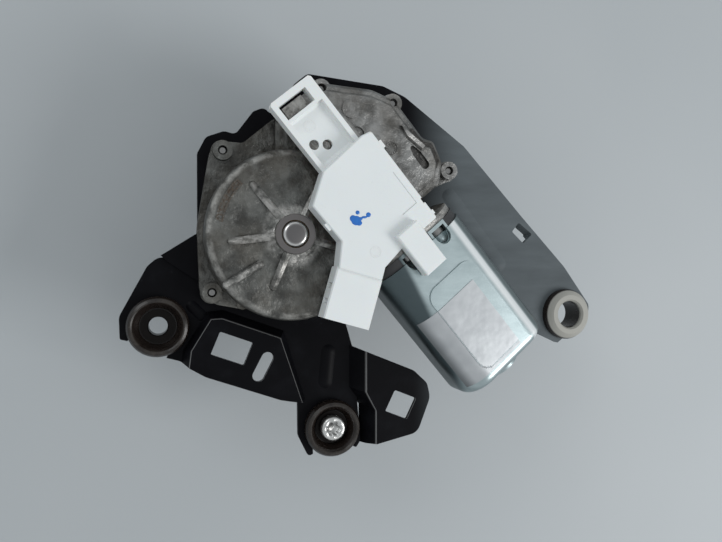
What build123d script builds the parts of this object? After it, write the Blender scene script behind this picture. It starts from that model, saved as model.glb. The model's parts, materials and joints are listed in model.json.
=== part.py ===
from build123d import *
from math import atan, atan2, cos, degrees, pi, radians, sin, tan
import os

# Rear wiper motor on its stamped tailgate bracket, in millimetres.
# The origin is on the output shaft's axis, at the underside of the bracket sheet.
# +Z points to the gearbox casting; the spindle points down, through the tailgate skin.

os.makedirs("parts", exist_ok=True)

# Clearances shared by the fits
running_gap = 0.05
seat_gap = 0.05
free_gap = 0.5

# Worm gear: the centre distance follows from the teeth
gear_module = 1.2
wheel_teeth = 56
worm_starts = 1
worm_pitch_radius = 6.4
tooth_addendum = 1.0
tooth_dedendum = 1.35
tooth_thickness = 1.5
flank_angle = 20.0
wheel_thickness = 7.0
worm_turns = 5
wheel_pitch_radius = gear_module * wheel_teeth / 2
worm_offset = wheel_pitch_radius + worm_pitch_radius
worm_lead = pi * gear_module * worm_starts
lead_angle = degrees(atan(worm_lead / (2 * pi * worm_pitch_radius)))
wheel_tip_radius = wheel_pitch_radius + tooth_addendum
wheel_root_radius = wheel_pitch_radius - tooth_dedendum
worm_tip_radius = worm_pitch_radius + tooth_addendum
worm_root_radius = worm_pitch_radius - tooth_dedendum
worm_bore_radius = worm_tip_radius + 0.35
bearing_radius = worm_bore_radius + 0.6

# Where the motor stands: its axis passes the output shaft at worm_offset
motor_angle = -49.8
worm_height = 18.5

# Bracket sheet
sheet = 2.5
panel_rise = 8.0
arm_flange_depth = 5.5

# Gearbox casting levels and walls
seal_thickness = 0.8
cast_wall = 2.5
lobe_wall = 2.2
lobe_gap = 0.6
flange_top = 10.5
bay_top = 17.0
boss_top = 30.5
boss_radius = 8.7
rib_width = 3.2
tunnel_half_width = 12.5
tunnel_top = 29.0
tunnel_start = -29.0
flange_bottom = sheet + seal_thickness
cavity_radius = wheel_tip_radius + lobe_gap
lobe_radius = cavity_radius + lobe_wall
wheel_top = worm_height + wheel_thickness / 2
wheel_bottom = worm_height - wheel_thickness / 2
cavity_top = wheel_top + 0.8
dome_top = cavity_top + cast_wall
dome_edge_radius = 3.2

# Ribs on the lobe, each an angle and the radius where it ends
rib_layout = [(130.0, 28.4), (187.0, 28.0), (249.0, 25.5), (-15.0, 24.0), (62.0, 24.0)]
rib_slope = 28.0
loose_rib = [(-28.4, -21.5), (-14.3, -12.8)]
swell_reach = 7.0
plate_radii = (30.2, 33.4)
plate_angles = (136.0, 170.0)
plate_rise = 0.4
bay_step = 1.5

# Cover screws, driven from below through the bracket into the casting
screw_radius = 2.0
screw_head_radius = 4.2
screw_head_height = 2.8
screw_end = 12.6
screw_boss_radius = 4.3
screw_places = [(-29.0, 37.0), (-33.5, -25.1), (15.0, 67.6), (49.8, 63.6), (78.6, 33.0)]

# Output shaft and pivot
shaft_radius = 5.6
shaft_end_height = 31.0
shaft_end_chamfer = 1.1
journal_radius = 5.0
cone_small_radius = 4.35
thread_radius = 4.0
washer_thickness = 0.8
ring_thickness = 1.0
pivot_top = 12.2
pivot_flange_radius = 17.0
pivot_flange_thickness = 3.0
pivot_radius = 11.0
pivot_neck_radius = 10.8
pivot_length = 44.0
bush_radius = 7.6
bush_length = 12.0
cone_length = 13.0
thread_length = 12.0
hub_radius = 9.5
sensor_magnet_radius = 4.0

# Motor can: a deep-drawn flattened tube with round corners
can_width = 51.0
can_thickness = 35.0
can_corner = 13.0
can_wall = 1.6
can_start = 40.6
can_end = 110.0
can_end_round = 4.5
can_pad_rise = 0.5
can_pad_start = 57.0
can_pad_room = 7.0
end_flange_thickness = 3.0
end_flange_start = 33.4
can_screw_radius = 2.0
can_screw_head_radius = 3.4
can_screw_head_height = 3.2
can_screw_sides = (-8.0, 10.0)
can_screw_rise = 12.8
can_lug_width = 9.6
can_lug_thickness = 1.6
can_notch_end = 46.0
rear_cup_length = 4.0
rear_cup_wall = 1.7
rear_bearing_radius = 7.0

# Armature, along the motor axis
armature_shaft_radius = 4.0
armature_start = -24.0
shaft_stub = 1.0
core_radius = 14.6
core_front_room = 6.7
core_rear_room = 19.0
core_slots = 10
winding_overhang = 7.0
commutator_radius = 10.0
commutator_start = 42.5
commutator_length = 11.8
commutator_bars = 10
air_gap = 0.8
magnet_half_height = 11.0
bearing_start = 18.0
bearing_length = 7.0
worm_bush_radius = 6.5
worm_bush_start = -21.0
worm_bush_length = 6.5
brush_height = 4.8
brush_start = 45.4
brush_width = 5.8
brush_box_wall = 1.2
brush_reach = 20.0

# Circuit board: holes are given along and across the motor axis
board_bottom = 6.2
board_thickness = 1.6
board_posts = [(18.0, 26.0), (-8.0, 19.5), (-25.0, 24.2), (12.0, 34.3)]
switch_starts = (-10.0, -1.0, 8.0)

# Plastic cover with the plug socket
cover_top = 38.5
cover_wall = 1.8
tab_top = 35.6
tab_floor = 31.6
tab_start = -47.8
tab_left = -15.4
tab_width = 22.0
window_rim = 3.0
window_length = 6.6
tab_holes = [(-24.0, -9.6), (-20.6, -4.8)]
tab_hole_radius = 2.2
plug_width = 20.8
plug_length = 21.4
plug_top = 37.0
plug_bottom = 26.2
plug_wall = 1.7
plug_angle = -106.0
plug_mouth = (20.5, -38.2)
side_box_top = 42.5

# Rubber grommets in the three forks of the bracket
grommet_radius = 13.2
grommet_groove_radius = 9.0
grommet_top = 8.0
grommet_bottom = -6.0
cup_radius = 10.4
sleeve_radius = 6.2
sleeve_bore_radius = 4.1
sleeve_flange_radius = 7.6
sleeve_flange_thickness = 1.2
sleeve_seat = 1.2
peg_bore_radius = 7.1
peg_ring_radius = 11.0
fork_end_radius = 15.8
left_eye = (-56.0, -40.0)
lower_eye = (22.6, -89.9)
right_eye = (151.0, -38.6)
left_fork_angle = -114.0
lower_fork_angle = -90.0
right_fork_angle = -52.0

# Mounting bolt left in the lower grommet
bolt_radius = 3.0
bolt_head_radius = 5.8
bolt_head_height = 4.6
bolt_length = 26.0
bolt_shank_radius = 2.6
bolt_thread_length = 15.2
bolt_socket_radius = 3.3

# Derived levels
hub_bottom = pivot_top + washer_thickness + 2 * running_gap
hub_top = cavity_top - free_gap
end_flange_end = end_flange_start + end_flange_thickness
can_seat = end_flange_end + seat_gap
can_top = worm_height + can_thickness / 2
can_roof = can_top + can_pad_rise + 0.3
armature_end = can_end + shaft_stub
core_start = commutator_start + commutator_length + core_front_room
core_end = can_end - core_rear_room
cover_skirt = tunnel_top + seat_gap
board_top = board_bottom + board_thickness
tab_right = tab_left + tab_width
pivot_end = -pivot_length
shaft_tip = pivot_end - washer_thickness - ring_thickness - cone_length - thread_length
cone_top = shaft_tip + thread_length + cone_length

up = (0, 0, 1)
low = (Align.CENTER, Align.CENTER, Align.MIN)
worm_x = worm_offset * cos(radians(motor_angle + 90))
worm_y = worm_offset * sin(radians(motor_angle + 90))
axis_x = cos(radians(motor_angle))
axis_y = sin(radians(motor_angle))
# Plan frame of the motor: x runs along the motor axis, y across it, z up
plan = Location((worm_x, worm_y, 0), (0, 0, motor_angle))
# Axis frame of the motor: z runs along the motor axis, x across it, y up
spin = Plane(
    origin=(worm_x, worm_y, worm_height),
    x_dir=(-axis_y, axis_x, 0),
    z_dir=(axis_x, axis_y, 0),
).location


def outline(corners, level=0.0):
    """Face from corners given as (x, y, corner radius)."""
    points = [(x, y, level) for x, y, _ in corners]
    radii = [radius for _, _, radius in corners]
    return make_face(FilletPolyline(*points, radius=radii, close=True))


def slab(corners, bottom, top):
    """Upright prism over an outline."""
    return extrude(outline(corners, bottom), amount=top - bottom, dir=up)


def pin(radius, bottom, top, x=0.0, y=0.0):
    """Upright round bar."""
    return Pos(x, y, bottom) * Cylinder(radius, top - bottom, align=low)


def ring(outer, inner, bottom, top, x=0.0, y=0.0):
    """Upright round tube."""
    return pin(outer, bottom, top, x, y) - pin(inner, bottom - 1, top + 1, x, y)


def turned(profile):
    """Solid of revolution about Z from (radius, height) points."""
    points = [(radius, 0, height) for radius, height in profile]
    return revolve(make_face(Polyline(*points, close=True)), Axis.Z)


def block(x_low, x_high, y_low, y_high, z_low, z_high):
    """Box between two corners."""
    size = (x_high - x_low, y_high - y_low, z_high - z_low)
    middle = ((x_low + x_high) / 2, (y_low + y_high) / 2, (z_low + z_high) / 2)
    return Pos(*middle) * Box(*size)


def can_face(inset, level=0.0):
    """The can's cross-section, drawn in by an inset."""
    across = can_width - 2 * inset
    thick = can_thickness - 2 * inset
    face = RectangleRounded(across, thick, can_corner - inset)
    return Pos(0, 0, level) * face


def can_prism(inset, start, end):
    """Length of the can's section along the motor axis."""
    return extrude(can_face(inset, start), amount=end - start, dir=up)


def fork_frame(eye, angle):
    """Frame at a grommet eye whose x axis points out of its fork."""
    return Location((eye[0], eye[1], 0), (0, 0, angle))


def fork_slot(eye, angle, bottom, top):
    """U-shaped slot that a grommet slides into."""
    reach = 2 * fork_end_radius
    straight = block(0, reach, -grommet_groove_radius, grommet_groove_radius, bottom, top)
    slot = pin(grommet_groove_radius, bottom, top) + straight
    return fork_frame(eye, angle) * slot


def stamped_up(sheet_part, foot, crown, extent):
    """Press a panel up out of the sheet, with sloping walls of the sheet's own thickness."""
    rise = panel_rise + sheet
    lower = make_face(Polyline(*[(x, y, 0) for x, y in foot], close=True))
    upper = make_face(Polyline(*[(x, y, rise) for x, y in crown], close=True))
    frustum = loft([lower, upper], ruled=True)
    return sheet_part + (frustum & extent) - Pos(0, 0, -sheet) * frustum


# Bracket: one stamping that also closes the gearbox from below
body_corners = [
    (-39.2, -18.0, 3),
    (-39.4, 37.0, 3),
    (-35.6, 44.6, 4),
    (-27.5, 47.8, 4),
    (-22.5, 46.6, 3),
    (-14.5, 57.6, 2.5),
    (-9.5, 59.8, 3),
    (-5.0, 55.6, 3),
    (4.6, 71.8, 4),
    (10.8, 77.2, 4),
    (48.5, 74.6, 6),
    (60.0, 70.2, 8),
    (92.0, 47.6, 10),
    (125.0, 13.0, 20),
    (151.0, -13.4, 14),
    (right_eye[0] + 15.6, right_eye[1] + 4.6, 4),
    (right_eye[0] + 15.0, right_eye[1] - 1.4, 0.8),
    (right_eye[0] - 4.0, right_eye[1] - 15.4, 0.8),
    (right_eye[0] - 13.0, right_eye[1] - 11.4, 6),
    (110.0, -37.0, 8),
    (67.3, 14.1, 4),
    (31.7, -15.9, 5),
    (29.6, -40.7, 6),
    (33.2, -53.0, 6),
    (37.0, -97.4, 1.5),
    (34.9, -100.7, 0.8),
    (lower_eye[0] + grommet_groove_radius, -99.0, 0.5),
    (lower_eye[0] - grommet_groove_radius, -102.1, 0.5),
    (11.4, -103.0, 1.5),
    (6.5, -93.0, 5),
    (6.3, -76.0, 1),
    (-3.0, -74.2, 10),
    (-36.0, -62.2, 10),
    (-47.0, -55.7, 3),
    (left_eye[0] + 3.7, left_eye[1] - 14.2, 0.5),
    (left_eye[0] - 12.5, left_eye[1] - 6.2, 0.5),
    (-71.8, -45.4, 1),
    (-72.2, -35.6, 6),
    (-60.6, -13.6, 7),
    (-54.6, -8.2, 6),
]
left_panel_foot = [(-49.4, -76.0), (-46.6, -51.4), (-35.4, -33.0), (-27.6, -32.2), (0.6, -42.6), (10.8, -76.0)]
left_panel_crown = [(-45.0, -76.0), (-41.8, -50.6), (-33.6, -37.2), (-29.0, -37.0), (-3.2, -46.4), (6.8, -76.0)]
ear_foot = [(29.3, -50.0), (29.3, -71.0), (36.8, -80.0), (36.8, -104.0), (90.0, -104.0), (90.0, -75.0)]
ear_crown = [(38.0, -52.6), (38.0, -73.0), (42.8, -82.0), (42.8, -104.0), (90.0, -104.0), (90.0, -74.0)]
ear_corners = [
    (22.0, -49.6, 0),
    (31.5, -51.2, 5),
    (61.5, -63.6, 6),
    (68.4, -70.0, 5),
    (70.0, -77.0, 8),
    (63.4, -93.6, 6),
    (39.0, -98.6, 4),
    (22.0, -97.6, 0),
]
forks = [
    (left_eye, left_fork_angle),
    (lower_eye, lower_fork_angle),
    (right_eye, right_fork_angle),
]
left_window = [(-29.9, -42.4, 0.8), (-15.4, -47.8, 0.8), (-19.5, -57.8, 0.8), (-34.0, -52.4, 0.8)]
ear_window = [(51.8, -72.6, 0.8), (62.9, -77.2, 0.8), (58.0, -87.0, 0.8), (46.9, -82.4, 0.8)]
arm_window = [(123.5, 9.6, 0.8), (131.5, 3.6, 0.8), (126.3, -1.3, 0.8), (119.6, 4.8, 0.8)]
slot_ends = [(-9.0, -54.9), (-13.0, -62.6)]
slot_radius = 2.75
# Beads pressed up out of the sheet: both ends, and the radius of the punch
beads = [
    ([(21.0, -54.0), (19.6, -68.0)], 7.0),
    ([(-41.6, -31.4), (-37.4, -35.6)], 4.0),
    ([(84.0, 22.0), (112.0, -12.0)], 9.0),
]
bead_rise = 0.9

# Turned-down edge of the right arm
arm_edge = [(66.0, 65.0), (92.0, 46.9), (124.6, 12.9), (149.0, -11.8)]


def bead_punch(places, radius):
    """Round-ended bar lying along a bead."""
    (x1, y1), (x2, y2) = places
    length = ((x2 - x1) ** 2 + (y2 - y1) ** 2) ** 0.5
    heading = degrees(atan2(y2 - y1, x2 - x1))
    bar = Rot(0, 90, 0) * Cylinder(radius, length, align=low)
    bar = bar + Sphere(radius) + Pos(length, 0, 0) * Sphere(radius)
    return Location((x1, y1, sheet + bead_rise - radius), (0, 0, heading)) * bar


def mounting_bracket():
    """Black steel stamping with two raised panels, three forks and three windows."""
    stamping = slab(body_corners, 0, sheet)
    body_column = slab(body_corners, -1, panel_rise + sheet + 1)
    ear_column = slab(ear_corners, -1, panel_rise + sheet + 1)
    stamping = stamped_up(stamping, left_panel_foot, left_panel_crown, body_column)
    stamping = stamped_up(stamping, ear_foot, ear_crown, ear_column)
    for start, end in zip(arm_edge[:-1], arm_edge[1:]):
        length = ((end[0] - start[0]) ** 2 + (end[1] - start[1]) ** 2) ** 0.5
        heading = degrees(atan2(end[1] - start[1], end[0] - start[0]))
        wall = block(-sheet / 2, length + sheet / 2, -sheet, 0, -arm_flange_depth, 0.5)
        stamping = stamping + Location((start[0], start[1], 0), (0, 0, heading)) * wall
    for places, radius in beads:
        punch = bead_punch(places, radius)
        stamping = stamping + (punch & Pos(0, 0, sheet) * Box(500, 500, 2)) - Pos(0, 0, -sheet) * punch
    for eye, angle in forks:
        stamping = stamping - fork_slot(eye, angle, -10, 20)
    for window in (left_window, ear_window, arm_window):
        stamping = stamping - slab(window, -10, 20)
    (x1, y1), (x2, y2) = slot_ends
    heading = degrees(atan2(y2 - y1, x2 - x1))
    length = ((x2 - x1) ** 2 + (y2 - y1) ** 2) ** 0.5
    slot = extrude(SlotCenterToCenter(length, 2 * slot_radius), amount=30)
    middle = Location(((x1 + x2) / 2, (y1 + y2) / 2, -10), (0, 0, heading))
    stamping = stamping - middle * slot
    for x, y in screw_places:
        stamping = stamping - pin(screw_radius + 0.2, -1, sheet + 1, x, y)
    return stamping - pin(pivot_neck_radius + seat_gap, -1, sheet + 1)


# Gearbox casting: wheel lobe, circuit bay, worm tunnel and motor flange in one piece
bay_corners = [
    (-6.0, 30.0, 0),
    (-6.0, 52.6, 4),
    (13.0, 70.0, 4),
    (39.0, 68.8, 12),
    (50.4, 64.6, 8),
    (64.6, 47.6, 5),
    (70.0, 46.6, 3),
    (74.6, 36.4, 5),
    (73.2, 26.4, 4),
    (64.6, 19.2, 4),
    (40.0, 0.0, 0),
]
plateau_corners = [
    (-2.8, 31.0, 0),
    (-2.8, 50.9, 2),
    (14.2, 66.6, 2),
    (38.0, 65.6, 9),
    (48.2, 62.0, 5),
    (63.0, 44.4, 4),
    (68.0, 43.4, 2),
    (71.2, 36.0, 3),
    (70.2, 28.2, 2.5),
    (62.6, 21.8, 2.5),
    (40.0, 3.9, 0),
]
flank_corners = [
    (-34.5, 36.0, 4),
    (-31.0, 41.5, 4),
    (-20.0, 41.2, 3),
    (-6.5, 52.8, 3),
    (10.0, 50.0, 0),
    (14.0, -20.0, 0),
    (12.0, -33.5, 6),
    (-20.5, -32.6, 5),
    (-31.5, -30.5, 4),
    (-38.6, -25.0, 4),
    (-39.8, 3.5, 30),
    (-36.2, 26.0, 20),
]
bay_room_corners = [
    (38.5, 40.5, 2),
    (22.0, 58.0, 2),
    (28.0, 64.0, 3),
    (45.0, 61.0, 4),
    (69.0, 40.0, 3),
    (68.0, 28.0, 3),
    (62.0, 22.5, 2),
]


bay_wedge_foot = [(51.2, 53.0), (65.4, 43.6), (62.6, 39.8), (54.4, 46.6)]
bay_wedge_crown = [(52.4, 52.0), (64.0, 43.4), (62.6, 42.0), (55.0, 47.6)]
bay_pocket_corners = [
    (55.2, 46.0, 1.2),
    (62.6, 40.6, 1.2),
    (67.6, 34.6, 2),
    (64.4, 31.8, 2),
    (58.8, 38.6, 2),
]


def boss_swell():
    """Low cone that blends the shaft boss into the lobe."""
    return turned([
        (boss_radius - 1, dome_top - 1),
        (boss_radius - 1, dome_top + 2.4),
        (boss_radius, dome_top + 2.4),
        (boss_radius + 0.35 * swell_reach, dome_top + 1.1),
        (boss_radius + swell_reach, dome_top),
        (boss_radius + swell_reach, dome_top - 1),
    ])


def sloped_rib(end):
    """Ridge along +X from the shaft boss down to the lobe."""
    profile = make_face(Polyline(
        (boss_radius - 1, 0, dome_top - 2),
        (boss_radius - 1, 0, dome_top + 3.6),
        (boss_radius + 2, 0, dome_top + 3.0),
        (end, 0, dome_top + 0.9),
        (end + 1.6, 0, dome_top - 2),
        close=True,
    ))
    return extrude(profile, amount=rib_width / 2, both=True, taper=rib_slope)


def sector(angles, reach, bottom, top):
    """Upright wedge about the origin between two angles."""
    first, last = (radians(angle) for angle in angles)
    corners = [(0, 0, bottom), (reach * cos(first), reach * sin(first), bottom),
               (reach * cos(last), reach * sin(last), bottom)]
    return extrude(make_face(Polyline(*corners, close=True)), amount=top - bottom, dir=up)


def plate_frame():
    """Raised empty frame on the lobe's left side."""
    inner, outer = plate_radii
    top = dome_top + plate_rise
    frame = ring(outer, inner, dome_top - 0.5, top) & sector(plate_angles, 60, dome_top - 0.5, top)
    first, last = plate_angles
    field = ring(outer - 0.6, inner + 0.6, dome_top - 1, top + 1)
    return frame - (field & sector((first + 1.2, last - 1.2), 60, dome_top - 0.6, top + 1))


def bay_wedge():
    """Sloping block on the bay's outer corner."""
    lower = make_face(Polyline(*[(x, y, bay_top - 2) for x, y in bay_wedge_foot], close=True))
    upper = make_face(Polyline(*[(x, y, bay_top + 1.8) for x, y in bay_wedge_crown], close=True))
    return loft([lower, upper], ruled=True)


def gusset(places, radius, bottom, top):
    """Cast web from the lobe out to a screw boss."""
    (x1, y1), (x2, y2) = places
    length = ((x2 - x1) ** 2 + (y2 - y1) ** 2) ** 0.5
    heading = degrees(atan2(y2 - y1, x2 - x1))
    slot = extrude(SlotCenterToCenter(length, 2 * radius), amount=top - bottom)
    return Location(((x1 + x2) / 2, (y1 + y2) / 2, bottom), (0, 0, heading)) * slot


def casting_footprint(bottom, top, reach):
    """Plan of the sealing flange as an upright prism, as far as a reach along the motor axis."""
    foot = pin(lobe_radius, bottom, top) + slab(bay_corners, bottom, top) + slab(flank_corners, bottom, top)
    foot = foot + plan * block(tunnel_start, reach, -tunnel_half_width, tunnel_half_width, bottom, top)
    for x, y in screw_places:
        foot = foot + gusset([(x * 0.62, y * 0.62), (x, y)], screw_boss_radius + 0.6, bottom, top)
    return foot


def gearbox_housing():
    """Aluminium casting, open underneath, with the worm bore running to the motor."""
    casting = casting_footprint(flange_bottom, flange_top, end_flange_end)
    for x, y in screw_places:
        casting = casting + pin(screw_boss_radius, flange_bottom, screw_end + 1.4, x, y)
    dome = pin(lobe_radius, flange_bottom, dome_top)
    casting = casting + fillet(dome.edges().sort_by(Axis.Z)[-1], dome_edge_radius)
    bay = slab(bay_corners, flange_bottom, bay_top - bay_step)
    casting = casting + chamfer(bay.faces().sort_by(Axis.Z)[-1].edges(), 1.6)
    plateau = slab(plateau_corners, bay_top - bay_step - 1, bay_top)
    casting = casting + chamfer(plateau.faces().sort_by(Axis.Z)[-1].edges(), 1.2)
    tunnel = block(tunnel_start, end_flange_start + 1, -tunnel_half_width, tunnel_half_width, 5, tunnel_top)
    tunnel = fillet(tunnel.edges().filter_by(Axis.X).sort_by(Axis.Z)[-2:], 6.0)
    casting = casting + plan * tunnel
    # Flange that carries the motor can
    casting = casting + spin * can_prism(1.2, end_flange_start, end_flange_end)
    # Ribs run down from the shaft boss
    casting = casting + pin(boss_radius, dome_top - 2, boss_top) + boss_swell()
    for rib_angle, rib_end in rib_layout:
        casting = casting + Rot(0, 0, rib_angle) * sloped_rib(rib_end)
    loose = gusset(loose_rib, rib_width / 2, dome_top - 3, dome_top + 1.5)
    casting = casting + chamfer(loose.faces().sort_by(Axis.Z)[-1].edges(), 0.7)
    casting = casting + plate_frame()
    # Cast nub below the lobe, ejector pads, the cast loop, a wedge and the latch lug for the cover
    casting = casting + pin(2.6, flange_bottom, flange_top + 4, -20.5, -30.0)
    casting = casting + pin(4.3, bay_top - 1, bay_top + 0.6, 28.2, 58.4)
    casting = casting + ring(5.4, 3.7, bay_top - 1, bay_top + 1.2, 30.6, 46.6)
    casting = casting + bay_wedge()
    casting = casting + plan * block(-43.6, -38.6, -11.5, -1.0, flange_top - 3, tab_top - 3.0)
    # Hollow inside: wheel chamber, worm bore, circuit bay
    chamber = pin(cavity_radius, flange_bottom - 1, cavity_top)
    casting = casting - chamber
    casting = casting - spin * pin(worm_bore_radius, -14.0, bearing_start + 1)
    casting = casting - plan * block(-14.0, 14.0, -14, 0, flange_bottom - 1, worm_height + 3)
    casting = casting - spin * pin(armature_shaft_radius + 0.6, armature_start - 2.5, can_start + 1)
    casting = casting - spin * pin(bearing_radius, bearing_start, bearing_start + bearing_length)
    casting = casting - spin * pin(bearing_radius + 0.2, bearing_start + bearing_length - 0.1, can_start + 1)
    casting = casting - spin * pin(worm_bush_radius, worm_bush_start, worm_bush_start + worm_bush_length)
    casting = casting - slab(bay_room_corners, flange_bottom - 1, bay_top - cast_wall)
    casting = casting - slab(bay_pocket_corners, bay_top - 1.3, bay_top + 2)
    casting = casting - pin(bush_radius, cavity_top - 1, boss_top - 1.6)
    casting = casting - pin(shaft_radius + 0.4, cavity_top, boss_top + 1)
    for x, y in screw_places:
        casting = casting - pin(screw_radius + seat_gap, flange_bottom - 1, boss_top, x, y)
    for across in can_screw_sides:
        hole = pin(can_screw_radius + seat_gap, end_flange_start - 4, end_flange_end + 1)
        casting = casting - spin * Pos(across, can_screw_rise, 0) * hole
    for along, across in board_posts:
        post = pin(2.0, board_top, bay_top - 1, along, across) + pin(0.9, board_bottom, bay_top - 1, along, across)
        casting = casting + plan * post
    return casting


def housing_seal():
    """Flat gasket between the casting and the bracket."""
    seal = casting_footprint(sheet, flange_bottom, end_flange_start - 2)
    seal = seal - pin(cavity_radius, sheet - 1, flange_bottom + 1)
    seal = seal - slab(bay_room_corners, sheet - 1, flange_bottom + 1)
    seal = seal - plan * block(-14, 14, -14, 0, sheet - 1, flange_bottom + 1)
    for x, y in screw_places:
        seal = seal - pin(screw_radius + 0.2, sheet - 1, flange_bottom + 1, x, y)
    return seal


def cover_screws():
    """Five thread-forming screws, heads under the bracket."""
    screws = []
    for x, y in screw_places:
        screw = pin(screw_head_radius, -screw_head_height, 0) + pin(screw_radius, -1, screw_end)
        screw = chamfer(screw.edges().group_by(Axis.Z)[0], 0.6)
        screw = chamfer(screw.edges().group_by(Axis.Z)[-1], 0.7)
        recess = extrude(RegularPolygon(screw_radius, 6), amount=2)
        screws.append(Pos(x, y, 0) * (screw - Pos(0, 0, -screw_head_height - 0.4) * recess))
    return Compound(children=screws)


def pivot_sleeve():
    """Spindle tube riveted into the bracket."""
    sleeve = turned([
        (bush_radius + seat_gap, pivot_end),
        (pivot_radius - 2.2, pivot_end),
        (pivot_radius - 1.4, pivot_end + 2),
        (pivot_radius, -22),
        (pivot_radius, -pivot_flange_thickness - 2),
        (pivot_radius + 2, -pivot_flange_thickness),
        (pivot_flange_radius, -pivot_flange_thickness),
        (pivot_flange_radius, 0),
        (pivot_neck_radius, 0),
        (pivot_neck_radius, sheet),
        (pivot_radius + 1.4, sheet),
        (pivot_radius + 0.6, sheet + 1.6),
        (hub_radius, sheet + 2.2),
        (hub_radius, pivot_top),
        (bush_radius + seat_gap, pivot_top),
    ])
    return sleeve


def bush(outer, inner, bottom, top):
    """Sintered plain bearing with eased mouths."""
    return turned([
        (inner + 0.5, bottom),
        (outer - 0.4, bottom),
        (outer, bottom + 0.6),
        (outer, top - 0.6),
        (outer - 0.4, top),
        (inner + 0.5, top),
        (inner, top - 0.5),
        (inner, bottom + 0.5),
    ])


def sleeve_bushes():
    upper = bush(bush_radius, journal_radius + running_gap, 1.0, pivot_top - 0.1)
    lower = bush(bush_radius, journal_radius + running_gap, pivot_end + 2.4, pivot_end + 2.4 + bush_length)
    return Compound(children=[upper, lower])


def output_shaft():
    return turned([
        (0, shaft_end_height + 0.2),
        (2.4, shaft_end_height + 0.12),
        (shaft_radius - shaft_end_chamfer, shaft_end_height - 0.1),
        (shaft_radius, shaft_end_height - shaft_end_chamfer),
        (shaft_radius, pivot_top + washer_thickness + running_gap),
        (journal_radius, pivot_top + washer_thickness + running_gap),
        (journal_radius, cone_top + ring_thickness),
        (journal_radius - 0.6, cone_top + ring_thickness),
        (journal_radius - 0.6, cone_top),
        (journal_radius, cone_top),
        (journal_radius, cone_top - 1.5),
        (cone_small_radius, shaft_tip + thread_length),
        (thread_radius, shaft_tip + thread_length),
        (thread_radius, shaft_tip + 1.0),
        (thread_radius - 1.0, shaft_tip),
        (0, shaft_tip),
    ])


def wheel_profile(level, turn):
    """Toothed outline of the worm wheel."""
    points = []
    slope = tan(radians(flank_angle))
    tip_half = tooth_thickness / 2 - tooth_addendum * slope
    root_half = tooth_thickness / 2 + tooth_dedendum * slope
    for tooth in range(wheel_teeth):
        middle = radians(tooth * 360 / wheel_teeth + turn + motor_angle + 90)
        for radius, half in (
            (wheel_root_radius, -root_half),
            (wheel_tip_radius, -tip_half),
            (wheel_tip_radius, tip_half),
            (wheel_root_radius, root_half),
        ):
            angle = middle + half / radius
            points.append((radius * cos(angle), radius * sin(angle), level))
    return make_face(Polyline(*points, close=True))


def worm_wheel():
    """Moulded wheel with helical teeth, a web and stiffening ribs."""
    twist = degrees(tan(radians(lead_angle)) * wheel_thickness / 2 / wheel_pitch_radius)
    wheel = loft([wheel_profile(wheel_bottom, -twist), wheel_profile(wheel_top, twist)], ruled=True)
    pocket = ring(wheel_root_radius - 3.5, hub_radius + 3.0, 0, 2.2)
    spokes = [Rot(0, 0, angle) * block(0, 40, -0.8, 0.8, -1, 4) for angle in range(0, 360, 45)]
    for spoke in spokes:
        pocket = pocket - spoke
    wheel = wheel - Pos(0, 0, wheel_bottom - 0.2) * pocket - Pos(0, 0, wheel_top - 2.0) * pocket
    return wheel - pin(hub_radius, wheel_bottom - 1, wheel_top + 1)


def wheel_hub():
    return ring(hub_radius, shaft_radius, hub_bottom, hub_top)


def armature_shaft():
    """Steel shaft with the worm rolled on its end."""
    shaft = turned([
        (0, armature_start),
        (armature_shaft_radius - 0.8, armature_start),
        (armature_shaft_radius, armature_start + 0.8),
        (armature_shaft_radius, armature_end - 0.8),
        (armature_shaft_radius - 0.8, armature_end),
        (0, armature_end),
    ])
    thread_length_half = worm_lead * worm_turns / 2
    shaft = shaft + pin(worm_root_radius, -thread_length_half - 2, thread_length_half + 2)
    slope = tan(radians(flank_angle))
    tip_half = tooth_thickness / 2 - tooth_addendum * slope
    sunk = tooth_dedendum + 0.3
    root_half = tooth_thickness / 2 + sunk * slope
    profile = make_face(Polyline(
        (worm_pitch_radius - sunk, 0, -root_half),
        (worm_pitch_radius + tooth_addendum, 0, -tip_half),
        (worm_pitch_radius + tooth_addendum, 0, tip_half),
        (worm_pitch_radius - sunk, 0, root_half),
        close=True,
    ))
    path = Helix(worm_lead, worm_lead * (worm_turns - 1), worm_pitch_radius)
    thread = sweep(profile, path=path, is_frenet=True)
    start = -worm_lead * (worm_turns - 1) / 2
    return spin * (shaft + Pos(0, 0, start) * thread)


def armature_core():
    """Lamination stack with winding slots."""
    core = ring(core_radius, armature_shaft_radius, core_start, core_end)
    for slot in range(core_slots):
        mouth = block(core_radius - 6.0, core_radius + 1, -0.9, 0.9, core_start - 1, core_end + 1)
        well = pin(2.0, core_start - 1, core_end + 1, core_radius - 4.2, 0)
        core = core - Rot(0, 0, slot * 360 / core_slots) * (mouth + well)
    return spin * core


def armature_windings():
    """Copper end turns at both ends of the stack, joined through its slots."""
    coils = []
    for start, end in (
        (core_start - winding_overhang + 0.4, core_start),
        (core_end, core_end + winding_overhang),
    ):
        coil = turned([
            (armature_shaft_radius + 1.0, start + 1.0),
            (core_radius - 5.0, start),
            (core_radius - 2.2, start + 2.2),
            (core_radius - 1.4, (start + end) / 2),
            (core_radius - 2.2, end),
            (armature_shaft_radius + 1.0, end),
        ])
        coils.append(coil)
    joined = coils[0] + coils[1]
    for slot in range(core_slots):
        bundle = pin(1.9, core_start - 0.5, core_end + 0.5, core_radius - 4.2, 0)
        joined = joined + Rot(0, 0, slot * 360 / core_slots) * bundle
    return spin * joined


def commutator_end():
    return commutator_start + commutator_length


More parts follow.
